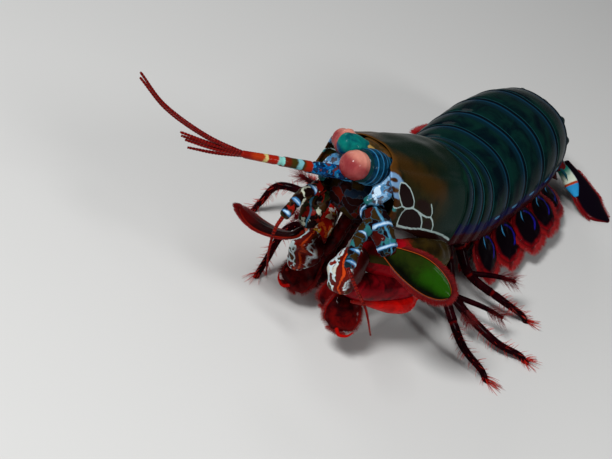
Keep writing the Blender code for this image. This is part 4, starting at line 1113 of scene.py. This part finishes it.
for side, _ in sides:
    makePiece("antennaBase_" + side, antennaArm(side), baseMats[side], "antenna_base_" + side)
    leaf = scaleSurface(side)
    makePiece("antennaScale_" + side, leaf, scaleMats[side], "antenna_scale_" + side)
    roots, away, tangent, uv = marginRoots(leaf, antennaLook["setae"], start=0.15, tipShare=0.2)
    makeSetae("scaleFringe_" + side, roots, away + 0.5 * tangent, rng.uniform(1.0, 1.6, len(roots)),
              0.07, 0.25 * tangent, uv, fringeRed)
    makePiece("antennaWhip_" + side, whipSurface(side), whipMat, "antenna_flagellum_" + side)
print("antennae ready")


# Raptorial limbs, four articles each, folded under the carapace

raptorialLook = {
    # path, half heights, half thicknesses
    "merus": {"left": (((14.6, 30.6, -9.6), (15.4, 26.5, -10.4), (14.9, 19.0, -11.4),
                        (12.6, 10.0, -13.0), (9.6, 3.0, -14.6)),
                       (2.2, 4.6, 5.4, 4.8, 3.0), (1.6, 3.0, 3.5, 3.2, 2.4)),
              "right": (((-13.6, 30.4, -11.0), (-12.9, 26.0, -12.6), (-10.2, 19.6, -15.2),
                         (-6.6, 13.6, -17.6), (-3.8, 9.2, -19.6)),
                        (2.2, 4.6, 5.2, 4.4, 3.0), (1.6, 3.0, 3.4, 3.1, 2.4))},
    "carpus": {"left": (((9.6, 1.4, -14.6), (9.3, 0.6, -17.0), (9.5, 0.3, -19.4), (10.2, 0.4, -21.8)),
                        (2.4, 3.7, 3.8, 2.6), (2.2, 3.4, 3.5, 2.4)),
               "right": (((-3.8, 9.2, -19.6), (-3.5, 8.7, -22.0), (-3.6, 8.6, -24.4),
                          (-4.1, 8.9, -26.6)),
                         (2.4, 3.7, 3.8, 2.6), (2.2, 3.3, 3.4, 2.4))},
    "propodus": {"left": (((11.0, 0.8, -21.4), (12.4, 4.6, -20.6), (14.6, 10.4, -19.0),
                           (16.8, 17.4, -17.4), (17.2, 19.6, -17.2)),
                          (2.0, 3.0, 3.2, 2.6, 1.6), (1.7, 2.3, 2.5, 2.2, 1.4)),
                 "right": (((-4.4, 9.8, -26.4), (-5.2, 13.0, -26.0), (-6.8, 18.6, -24.6),
                            (-8.8, 25.0, -22.8), (-9.2, 27.0, -22.4)),
                           (2.0, 3.0, 3.2, 2.6, 1.6), (1.7, 2.3, 2.5, 2.2, 1.4))},
    "dactyl": {"left": (((17.8, 21.4, -18.6), (17.4, 19.4, -20.2), (16.4, 15.4, -21.6),
                         (14.6, 9.4, -22.8), (13.0, 4.2, -24.0)),
                        (1.6, 3.0, 2.5, 1.3, 0.45), (1.5, 2.7, 2.2, 1.1, 0.4)),
               "right": (((-9.6, 28.4, -24.2), (-9.0, 26.4, -26.0), (-7.8, 22.2, -27.8),
                          (-6.4, 16.4, -29.2), (-5.6, 11.2, -30.2)),
                         (1.6, 3.0, 2.6, 1.3, 0.45), (1.5, 2.7, 2.2, 1.1, 0.4))},
    "relief": {"merus": 0.12, "carpus": 0.25, "propodus": 0.08, "dactyl": 0.05},
    "inwards": (-0.9, -0.27, -0.33),
}


def raptorialSurface(part, side):
    # Oval swept along the limb, with soft waves; two masks follow the way the skin faces
    path, high, thick = raptorialLook[part][side]
    s = sweep(head(path), thick, high, headUp, perSpan=16, around=56, ends=(0.7, 0.8))
    pushOut(s, raptorialLook["relief"][part] * waves(s.grid, 4.0, len(part)))
    towards = outward(s.grid) @ unit(np.array(raptorialLook["inwards"]))
    s.masks.update(along=s.along / s.length, turn=s.turn, inner=towards,
                   stripe=np.abs(towards - 0.10) * 3.5 + 0.5 * ripple(towards, 0.24))
    return s


raptorialMats = {
    "merus": shellMaterial("raptorialMerus", (48, 36, 10), (24, 16, 6), size=3.5, specks=0.2,
                           layers=(("along", (150, 8, 22), 0.62, 0.76, 0.25, 2.0),
                                   ("along", (92, 4, 10), 0.86, 0.98, 0.4, 1.6),
                                   ("turn", (52, 46, 14), 40, 20, 20, 2.0)),
                           coat=0.12, ior=1.04),
    "merusRight": shellMaterial("raptorialMerusRight", (130, 40, 16), (70, 12, 8), size=2.0, specks=0.2,
                                net=(1.9, 0.05, 1.2, (140, 20, 10), (0.0, (150, 14, 8)),
                                     (0.26, (64, 10, 8)), (0.38, (196, 84, 24)),
                                     (0.50, (216, 206, 170)), (0.60, (120, 12, 8)),
                                     (0.74, (222, 228, 222)), (0.84, (40, 64, 30)),
                                     (0.93, (190, 150, 40))),
                                layers=(("along", (120, 10, 8), 0.30, 0.12, 0.25, 2.0),), rough=0.3,
                                coat=0.2),
    "carpus": shellMaterial("raptorialCarpus", (150, 50, 24), (70, 14, 8), size=2.0, specks=0.2,
                            net=(2.3, 0.11, 0.6, (190, 208, 212), (0.0, (30, 44, 22)),
                                 (0.22, (110, 14, 8)), (0.38, (200, 204, 192)), (0.52, (40, 52, 26)),
                                 (0.68, (70, 9, 6)), (0.84, (60, 40, 14))),
                            layers=(("inner", (60, 8, 7), -0.2, -0.6, 0.4, 2.0),
                                    ("stripe", (90, 14, 8), 1.5, 1.0, 0.6, 1.0),
                                    ("stripe", (180, 60, 18), 0.4, 0.05, 0.5, 1.0))),
    "propodus": shellMaterial("raptorialPropodus", (140, 6, 20), (56, 2, 8), size=3.0, specks=0.2,
                              layers=(("along", (150, 40, 24), 0.04, -0.06, 0.2, 1.5),), rough=0.2,
                              coat=0.22, ior=1.04),
    "dactyl": shellMaterial("raptorialDactyl", (214, 12, 6), (150, 5, 4), size=3.0, specks=0.1,
                            layers=(("along", (120, 12, 8), 0.55, 0.9, 0.2, 1.5),), rough=0.2, coat=0.3,
                            ior=1.04)}
for side, _ in sides:
    for part in raptorialLook["relief"]:
        mat = raptorialMats["merusRight" if (part, side) == ("merus", "right") else part]
        makePiece("raptorial%s_%s" % (part.title(), side), raptorialSurface(part, side), mat,
                  "raptorial_%s_%s" % (part, side))
print("raptorial limbs ready")


# Maxillipeds: jointed arm, round paddle, small claw and a comb of setae

maxillipedLook = {
    # path, half width of the paddle
    ("3", "left"): (((2.6, 12.0, -8.0), (6.4, 11.0, -15.5), (9.6, 9.6, -22.0), (11.4, 8.0, -27.0),
                     (12.8, 7.4, -31.6)),
                    3.6),
    ("4", "left"): (((2.6, 16.0, -8.0), (4.6, 15.6, -16.0), (5.4, 15.0, -22.4), (5.8, 14.4, -27.4),
                     (6.2, 14.2, -31.4)),
                    3.2),
    ("5", "left"): (((2.4, 20.5, -8.0), (3.8, 20.6, -15.0), (4.4, 20.2, -20.4), (4.8, 19.8, -25.0),
                     (5.2, 19.6, -28.4)),
                    2.8),
    ("3", "right"): (((-2.2, 12.0, -8.0), (-1.6, 12.8, -16.0), (-1.6, 13.2, -23.0), (-3.0, 13.0, -28.4),
                      (-3.6, 12.6, -33.0)),
                     3.6),
    ("4", "right"): (((-2.6, 16.0, -8.0), (-2.8, 17.0, -15.5), (-2.4, 17.8, -21.6), (-2.2, 18.2, -26.4),
                      (-2.0, 18.4, -30.6)),
                     3.2),
    ("5", "right"): (((-2.4, 20.5, -8.0), (-3.2, 21.6, -14.6), (-2.9, 22.6, -19.8), (-2.7, 23.0, -24.2),
                      (-2.6, 23.2, -27.6)),
                     2.8),
    "arm": (1.3, 1.4, 1.1, 0.8), "bladeWide": (0.4, 1, 0.95, 0.45), "bladeThin": (0.8, 1.0, 0.9, 0.55),
    "hook": ((0, 0), (1.0, 1.0), (0.6, 2.6), (-0.6, 3.6)), "clawWide": (0.42, 0.38, 0.26, 0.1),
    "clawThin": (0.38, 0.34, 0.22, 0.1), "setae": 420,
}


def maxillipedSurfaces(number, side):
    # Arm: a thin sweep pinched at its joints. Paddle: a flat sweep. Claw: a thin curved cone
    # folded back over the paddle from its tip.
    look = maxillipedLook
    path, halfWidth = look[(number, side)]
    points = head(path)

    def pinched(u):
        # Radius at share u: a fifth less at the two joints
        return (1 - 0.2 * hump(u, 0.36, 0.02) - 0.2 * hump(u, 0.70, 0.02))[:, None]
    arm = sweep(points[:4], look["arm"], look["arm"], viewNormal, perSpan=16, around=24, shape=pinched)
    start = points[2] * 0.85 + points[3] * 0.15
    blade = sweep((start, points[3], points[4] * 0.75 + points[3] * 0.25, points[4]),
                  np.array(look["bladeWide"]) * halfWidth, look["bladeThin"], viewNormal, perSpan=14,
                  around=40)
    pushOut(blade, 0.12 * waves(blade.grid, 3.0, 31))
    along = unit(points[4] - points[3])
    sideways = unit(np.cross(viewNormal, along)) * dict(sides)[side]
    tip = points[4] + viewNormal * 0.6
    hook = [tip + along * forward + sideways * out for forward, out in look["hook"]]
    claw = sweep(hook, look["clawWide"], look["clawThin"], viewNormal, perSpan=10, around=14)
    for kind, (s, edge) in enumerate(((arm, farAway), (blade, bladeEdge(blade)), (claw, farAway))):
        s.masks.update(part=kind, edge=edge)
    return [arm, blade, claw]


maxillipedMat = shellMaterial("maxilliped", (84, 6, 6), (30, 2, 4), size=2.2, specks=0.2,
                              layers=(("edge", (120, 9, 8), 0.4, 0.0, 0.4, 1.0),
                                      ("part", (150, 10, 6), 1.4, 1.6, 0.0, 1.0)),
                              rough=0.26, coat=0.2, ior=1.04)
combRed = hairMaterial("combRed", (70, 4, 4), (150, 20, 14), (60, 3, 3))
for number, side in [(number, side) for side, _ in sides for number in "345"]:
    limb = "%s_%s" % (number, side)
    parts = maxillipedSurfaces(number, side)
    makePiece("maxillipedLimb_" + limb, parts, maxillipedMat, "maxilliped_" + limb)
    roots, away, tangent, uv = marginRoots(parts[1], maxillipedLook["setae"], start=0.15, tipShare=0.35)
    makeSetae("maxillipedComb_" + limb, roots, away + 0.3 * tangent, rng.uniform(0.6, 1.2, len(roots)),
              0.05, 0.2 * tangent, uv, combRed)


# Walking legs: joints and branch tip in their somite's frame, the foot on the floor

legLook = {
    # somite, joints, foot, branch tip
    ("1", "left"): ("thorax_6",
                    ((7.0, -3.0, -6.0), (13.0, -3.4, -12.0), (19.4, -4.0, -17.6), (29.0, -6.0, -23.4)),
                    (33.5, -30.2), (26.5, 1.0, -20.0)),
    ("2", "left"): ("thorax_7",
                    ((7.0, -3.0, -6.0), (13.0, -3.0, -13.0), (19.6, -3.2, -19.4), (32.0, -5.0, -21.4)),
                    (38.4, -15.6), (30.5, -1.0, -17.0)),
    ("3", "left"): ("thorax_8",
                    ((7.0, -3.0, -6.0), (12.4, -3.0, -11.4), (17.6, -3.0, -15.4), (26.6, -2.2, -16.4)),
                    (32.8, -0.5), (27.0, 0.0, -11.4)),
    ("1", "right"): ("thorax_6",
                     ((-7.0, -3.0, -6.0), (-8.0, -3.6, -14.0), (-10.4, -8.4, -20.8),
                      (-15.4, -19.6, -23.0)),
                     (-22.4, -41.6), (-19.0, -10.4, -23.0)),
    ("2", "right"): ("thorax_7",
                     ((-7.0, -3.0, -6.0), (-13.4, -4.0, -12.0), (-20.0, -5.4, -17.6),
                      (-30.0, -8.4, -20.6)),
                     (-36.4, -19.0), (-29.5, -1.0, -18.0)),
    ("3", "right"): ("thorax_8",
                     ((-7.0, -3.0, -6.0), (-12.6, -2.4, -11.4), (-18.0, -2.0, -15.4),
                      (-27.0, 0.0, -19.0)),
                     (-33.0, 4.6), (-27.0, 2.6, -14.4)),
    "radii": (1.6, 1.3, 1.1, 0.92, 0.76, 0.70), "branchRadii": (0.7, 0.62, 0.36),
    "joints": (0.2, 0.4, 0.6),
    "flat": (0.1, 1.0, 0.2),
    # limb (0 main, 1 branch), count, from and to share of its length, least and most length,
    # spread, lean, radius
    "setae": ((0, 64, 0.955, 1.0, 2.0, 3.8, 1.0, 0.5, 0.10),
              (0, 60, 0.62, 0.97, 1.0, 2.2, 1.0, 0.35, 0.075),
              (0, 150, 0.40, 0.97, 0.4, 1.0, 1.0, 0.5, 0.03),
              (1, 200, 0.62, 1.0, 1.2, 3.2, 0.9, 0.8, 0.04)),
}


def legSurfaces(number, side):
    # Main limb and branch: thin sweeps, the main one swollen before and pinched at its joints
    look = legLook
    somite, joints, foot, branch = look[(number, side)]
    points = place(somite, joints)
    footPoint = np.array([foot[0], foot[1], -0.6])
    above = points[-1] * 0.25 + footPoint * 0.75 + np.array([0, 0, 1.0])

    def jointed(u):
        # Radius at share u: a tenth more before each joint and less in it
        rise = sum(0.10 * hump(u, m - 0.02, 0.02) - 0.16 * hump(u, m, 0.010) for m in look["joints"])
        return (1 + rise)[:, None]
    main = sweep(np.vstack([points, above, footPoint]), look["radii"], look["radii"], look["flat"],
                 perSpan=22, around=20, shape=jointed)
    gaps = (main.along / main.length)[..., None] - np.append(look["joints"], 1.0)
    main.masks["joint"] = np.min(np.abs(gaps), axis=-1) * main.length
    end = place(somite, branch)
    middle = points[2] * 0.45 + end * 0.55 + np.array([0, 0, 0.8])
    thin = sweep((points[2] * 0.9 + points[1] * 0.1, middle, end), look["branchRadii"],
                 look["branchRadii"], look["flat"], perSpan=14, around=14)
    thin.masks["joint"] = thin.length - thin.along
    return [main, thin]


def brush(s, count, start, stop, length, spread, lean):
    # Roots spread round a limb between two shares of its length, pointing out and forward;
    # those that would reach into the floor are left out
    w = start + (stop - start) * rng.uniform(0, 1, count) ** 0.8
    angle = rng.uniform(0, 2 * np.pi, count)
    line, side, tangent, lift = alongLine(s, w * s.length)
    radius = np.interp(w * s.length, s.steps, s.radii.min(axis=1))[:, None]
    away = np.cos(angle)[:, None] * side + np.sin(angle)[:, None] * lift
    roots = line + away * radius * 0.9
    directions = unit(away * spread + tangent * lean)
    keep = roots[:, 2] + directions[:, 2] * length > 0.1
    uv = np.column_stack([angle / (2 * np.pi), 0.02 + 0.96 * w])
    return roots[keep], directions[keep], tangent[keep], uv[keep]


legMat = shellMaterial("legShell", (34, 3, 7), (12, 1, 4), size=2.4, specks=0.2,
                       layers=(("joint", (88, 6, 6), 0.5, 0.0, 0.7, 0.8),), coat=0.06, ior=1.04)
spikeRed = hairMaterial("spikeRed", (176, 12, 8), (224, 56, 28), (140, 8, 8))
brushRed = hairMaterial("brushRed", (60, 3, 8), (170, 24, 26), (40, 2, 8))
for number, side in [(number, side) for side, _ in sides for number in "123"]:
    limbs = legSurfaces(number, side)
    leg = "%s_%s" % (number, side)
    makePiece("walkingLeg_" + leg, limbs, legMat, "leg_" + leg)
    for n, (limb, count, start, stop, least, most, spread, lean, radius) in enumerate(legLook["setae"]):
        roots, directions, tangent, uv = brush(limbs[limb], count, start, stop, most, spread, lean)
        makeSetae("legBrush_%s_%d" % (leg, n), roots, directions, rng.uniform(least, most, len(roots)),
                  radius, 0.2 * tangent, uv, spikeRed if n < 2 else brushRed)
print("legs ready")


# Swimmerets: two leaf-shaped lobes each, fringed with setae

pleopodLook = {
    # root, bend, outer tip, inner tip, half width
    "1": ((8.0, -5.2, -3.4), (14.4, -4.4, -11.0), (20.2, -3.4, -15.8), (13.4, -3.0, -17.2), 6.0),
    "2": ((8.4, -5.2, -3.6), (15.4, -4.4, -11.2), (22.0, -3.4, -15.4), (14.6, -3.0, -17.2), 6.2),
    "3": ((8.6, -5.4, -3.6), (16.4, -4.4, -11.0), (23.2, -3.4, -14.2), (15.6, -3.0, -16.6), 6.2),
    "4": ((8.6, -5.6, -3.4), (16.2, -4.6, -10.6), (22.8, -3.6, -13.2), (15.4, -3.0, -15.8), 6.0),
    "5": ((8.0, -6.0, -3.2), (14.6, -5.0, -10.0), (20.6, -4.2, -12.2), (13.8, -3.6, -14.4), 5.4),
    "rightSpread": 0.86, "innerSize": 0.85, "innerInset": -2.4, "thin": (1.2, 1.2, 1.0, 0.8, 0.45),
    "arcMiddle": 0.70, "arcRadius": 3.2, "dashMiddle": 0.56, "setae": 900,
}


def pleopodSurfaces(number, side):
    # Two flat sweeps from one root, the inner one smaller, each with soft waves and a midrib.
    # The arc is a ring about a point past the middle that fades towards the inner side.
    look = pleopodLook
    root, bend, outer, inner, halfWidth = look[number]
    name = "abdomen_" + number
    outwards = dict(sides)[side]
    mirror = np.array([1.0 if side == "left" else -look["rightSpread"], 1.0, 1.0])
    start = place(name, np.array(root) * mirror)
    lobes = []
    for tip, size, inset in ((outer, 1.0, 0.0), (inner, look["innerSize"], look["innerInset"])):
        middle = place(name, (np.array(bend) + np.array([inset, 0.0, 0.0])) * mirror)
        end = place(name, np.array(tip) * mirror)
        line = (start, start * 0.4 + middle * 0.6, middle, middle * 0.45 + end * 0.55, end)
        wide = np.array([1.4, 2.2, halfWidth * 0.85, halfWidth, halfWidth * 0.62]) * size
        facing = np.cross(frames[name][1], end - start)
        lobe = sweep(line, wide, look["thin"], facing, perSpan=12, around=40, ends=(0.6, 1.2))
        across = np.cos(np.radians(lobe.turn))
        pushOut(lobe, 0.12 * waves(lobe.grid, 3.2, int(number)) + 0.15 * hump(across, 0, 0.12))
        share, toSide = lobe.along / lobe.length, across * outwards
        fromMiddle = np.hypot(lobe.along - look["arcMiddle"] * lobe.length, across * wide[2])
        ring = np.abs(fromMiddle - look["arcRadius"])
        dash = np.hypot((share - look["dashMiddle"]) * lobe.length / 6, toSide * wide[2] - 0.8)
        lobe.masks.update(edge=bladeEdge(lobe), along=share, dash=dash,
                          arc=ring + 3 * np.clip(0.25 + toSide, 0, 1))
        lobes.append(lobe)
    return lobes


pleopodMat = shellMaterial("swimmeret", (130, 10, 16), (64, 4, 12), size=3.0, specks=0.15,
                           layers=(("edge", (9, 3, 8), 0.3, 1.5, 1.0, 2),
                                   ("arc", (26, 22, 130), 0.55, 0.10, 0.4, 1.5),
                                   ("along", (22, 8, 14), 0.44, 0.30, 0.1, 2),
                                   ("dash", (60, 140, 190), 0.40, 0.20, 0.2, 1.0)),
                           rough=0.32, coat=0.08, ior=1.04)
fringePink = hairMaterial("fringePink", (110, 4, 8), (176, 26, 28), (90, 4, 10))
for number, side in [(number, side) for number in "12345" for side, _ in sides]:
    limb = "%s_%s" % (number, side)
    lobes = pleopodSurfaces(number, side)
    makePiece("swimmeret_" + limb, lobes, pleopodMat, "pleopod_" + limb)
    found = [marginRoots(lobe, pleopodLook["setae"], start=0.5, tipShare=0.4) for lobe in lobes]
    roots, away, tangent, uv = map(np.vstack, zip(*found))
    makeSetae("swimmeretFringe_" + limb, roots, away + 0.25 * tangent,
              rng.uniform(1.4, 2.8, len(roots)), 0.065, 0.15 * tangent, uv, fringePink)
print("swimmerets ready")


# Tail fan

uropodLook = {
    "left": {"stem": ((6.0, -4.0, -2.0), (9.4, 0.6, -2.9), (12.4, 4.2, -3.9)),
             "outer": ((11.2, 3.8, -3.3), (15.2, 4.5, -4.6), (18.4, 4.4, -6.0), (21.2, 4.2, -7.6)),
             "foot": (34.4, 66.6), "blade": ((12.9, 7.0, -2.3), (19.2, 7.3, -4.7), (26.0, 7.3, -7.4)),
             "inner": ((11.6, 3.2, -4.2), (15.0, 9.6, -5.2), (19.4, 17.6, -6.4)),
             "fork": ((10.6, 2.6, -5.4), (12.0, 8.0, -7.0), (13.2, 12.4, -7.8)),
             "normal": (0.35, -0.35, 0.85)},
    "right": {"stem": ((-6.0, -4.0, -2.0), (-10.0, 0.6, -4.0), (-13.4, 4.2, -6.6)),
              "outer": ((-12.2, 2.8, -5.6), (-14.6, 4.4, -7.4), (-16.8, 5.8, -9.2),
                        (-18.6, 6.8, -10.6)),
              "foot": (-19.6, 73.4),
              "blade": ((-13.0, 5.4, -6.6), (-16.6, 8.6, -9.2), (-18.0, 11.0, -10.8)),
              "inner": ((-11.4, 3.2, -5.8), (-14.6, 9.4, -7.8), (-18.0, 16.8, -9.6)),
              "fork": ((-10.6, 2.6, -6.4), (-12.2, 8.0, -8.2), (-13.4, 12.2, -9.4)),
              "normal": (-0.25, -0.3, 0.9)},
    # half widths, half thicknesses, points per span, points round, faces the blade's way
    "parts": {"stem": ((2.6, 2.6, 2.2), (2.2, 2.2, 1.8), 12, 28, False),
              "outer": ((1.3, 2.1, 2.4, 0.9), (1.2, 1.3, 1.2, 0.6), 14, 32, True),
              "blade": ((1.4, 3.2, 4.2, 1.2), (0.9, 1.0, 0.9, 0.6), 16, 36, True),
              "inner": ((1.5, 3.0, 1.4), (1.2, 0.9, 0.5), 16, 32, False),
              "fork": ((1.5, 1.1, 0.2), (1.2, 0.9, 0.2), 12, 20, False)},
    "spines": 7, "spineRadii": (0.26, 0.20, 0.06),
}


def uropodSurfaces(side):
    # Sweeps: stem, short first article, outer blade down to the floor, inner blade and forked
    # process, then a row of small spines along the first article's outer edge
    look, spec = uropodLook, uropodLook[side]
    up = frames["abdomen_6"][3]
    parts = []
    for kind, (name, (wide, thin, perSpan, around, turned)) in enumerate(look["parts"].items()):
        line = place("abdomen_6", spec[name])
        if name == "blade":
            line = np.vstack([line, [*spec["foot"], -0.25]])
        s = sweep(line, wide, thin, spec["normal"] if turned else up, perSpan=perSpan, around=around)
        s.masks.update(part=kind, edge=bladeEdge(s), first=-1, blue=-1)
        parts.append(s)
    parts[1].masks.update(first=parts[1].along / parts[1].length,
                          blue=np.cos(np.radians(parts[1].turn)) * dict(sides)[side])
    outer = place("abdomen_6", spec["outer"])
    edge = unit(outer[1] - outer[0])
    out = np.cross(up, edge)
    if (out @ frames["abdomen_6"][2] > 0) != (side == "left"):
        out = -out
    for k in range(look["spines"]):
        share = 0.75 * (1 - k / (look["spines"] - 1))
        base = outer[0] * share + outer[1] * (1 - share) + out * 1.7
        tip = base + out * 1.1 + edge * 1.3 - up * 0.5
        spine = sweep((base, (base + tip) / 2, tip), look["spineRadii"], look["spineRadii"], up,
                      perSpan=5, around=10)
        spine.masks.update(part=5, edge=farAway, first=-1, blue=-1)
        parts.append(spine)
    return parts


uropodMat = shellMaterial("tailFanBlades", (8, 60, 70), (3, 26, 40), size=3.0, specks=0.15,
                          layers=(("part", (9, 4, 12), 1.4, 1.6, 0.0, 2),
                                  ("part", (12, 60, 74), 2.4, 2.6, 0.0, 2),
                                  ("part", (30, 90, 104), 4.5, 4.6, 0.0, 2),
                                  ("edge", (92, 8, 12), 0.9, 0.3, 0.4, 1),
                                  ("first", (40, 140, 120), 0.0, 0.12, 0.1, 1.5),
                                  ("first", (214, 226, 206), 0.26, 0.5, 0.2, 1.5),
                                  ("first", (170, 60, 20), 0.64, 0.67, 0.03, 2),
                                  ("first", (40, 140, 196), 0.70, 0.73, 0.03, 2),
                                  ("blue", (20, 70, 150), 0.55, 0.95, 0.3, 1.5)))
for side, _ in sides:
    parts = uropodSurfaces(side)
    makePiece("tailBlades_" + side, parts, uropodMat, "uropod_" + side)
    found = [marginRoots(s, n, start=0.15, tipShare=0.3) for s, n in ((parts[2], 800), (parts[3], 520))]
    roots, away, tangent, uv = map(np.vstack, zip(*found))
    keep = roots[:, 2] > 0.4
    makeSetae("tailFringe_" + side, roots[keep], (away + 0.4 * tangent)[keep],
              rng.uniform(0.8, 1.4, keep.sum()), 0.055, 0.15 * tangent[keep], uv[keep], fringePink)
print("tail fan ready")


# Camera, floor and light, set as in the photograph

cameraLook = {"azimuth": 16.63, "elevation": 33.0, "roll": 21.4, "distance": 295.0,
              "target": (-18.2, -32.1, 11.8), "focal": 1300.0, "frameWidth": 612.0, "sensor": 36.0}
floorLook = {"halfSize": 3.0, "depth": -0.0001, "colour": (0.62, 0.62, 0.61, 1), "rough": 0.7}
# where, towards, size, power
lightLook = {"keyLight": ((-0.12, -0.42, 0.50), (0, -0.03, 0.02), 0.16, 3.9),
             "fillLight": ((0.52, -0.16, 0.34), (0, 0, 0.02), 0.14, 1.1),
             "backLight": ((-0.42, 0.30, 0.34), (0, 0, 0.02), 0.20, 0.5)}
worldLook = {"Color": (0.85, 0.87, 0.9, 1), "Strength": 0.13}


def setPlace(obj, where, right, up, back):
    # Stands an object at a point, its own axes along right, up and back
    turn = Matrix([list(x) for x in np.column_stack([right, up, back])]).to_4x4()
    turn.translation = where
    obj.matrix_world = turn


def addCamera():
    # Looks at the target from the azimuth and elevation, then rolls about its own axis
    look = cameraLook
    a, e, r = np.radians([look["azimuth"], look["elevation"], look["roll"]])
    back = np.array([np.sin(a) * np.cos(e), -np.cos(a) * np.cos(e), np.sin(e)])
    right = np.array([np.cos(a), np.sin(a), 0.0])
    up = np.cross(back, right)
    data = bpy.data.cameras.new("photoCamera")
    data.sensor_width, data.sensor_fit = look["sensor"], "HORIZONTAL"
    data.lens = look["focal"] / look["frameWidth"] * look["sensor"]
    data.clip_start, data.clip_end = 0.01, 10.0
    camera = addObject("photoCamera", data)
    setPlace(camera, (np.array(look["target"]) + back * look["distance"] + shift) * mm,
             np.cos(r) * right + np.sin(r) * up, -np.sin(r) * right + np.cos(r) * up, back)
    bpy.context.scene.camera = camera


def addLight(name):
    # A disk that faces the point it is turned towards
    where, towards, size, power = lightLook[name]
    data = bpy.data.lights.new(name, "AREA")
    data.shape, data.size, data.energy = "DISK", size, power
    back = unit(np.array(where, float) - np.array(towards, float))
    right = unit(np.cross([0, 0, 1.0], back))
    setPlace(addObject(name, data), where, right, np.cross(back, right), back)


def addFloor():
    # One square just below the feet
    size, depth = floorLook["halfSize"], floorLook["depth"]
    mesh = bpy.data.meshes.new("studioFloor")
    corners = [(x * size, y * size, depth) for x, y in ((-1, -1), (1, -1), (1, 1), (-1, 1))]
    mesh.from_pydata(corners, [], [(0, 1, 2, 3)])
    mat, tree, shader = newMaterial("studioFloor")
    feed(tree, shader, {"Base Color": floorLook["colour"], "Roughness": floorLook["rough"]})
    mesh.materials.append(mat)
    addObject("studioFloor", mesh)


def addWorld():
    # Even soft light from all round
    world = bpy.data.worlds.new("studioWorld")
    world.use_nodes = True
    feed(world.node_tree, world.node_tree.nodes["Background"], worldLook)
    bpy.context.scene.world = world


addCamera()
addFloor()
for name in lightLook:
    addLight(name)
addWorld()
bpy.context.scene.view_settings.view_transform = "Standard"
print("camera, floor and lights ready")
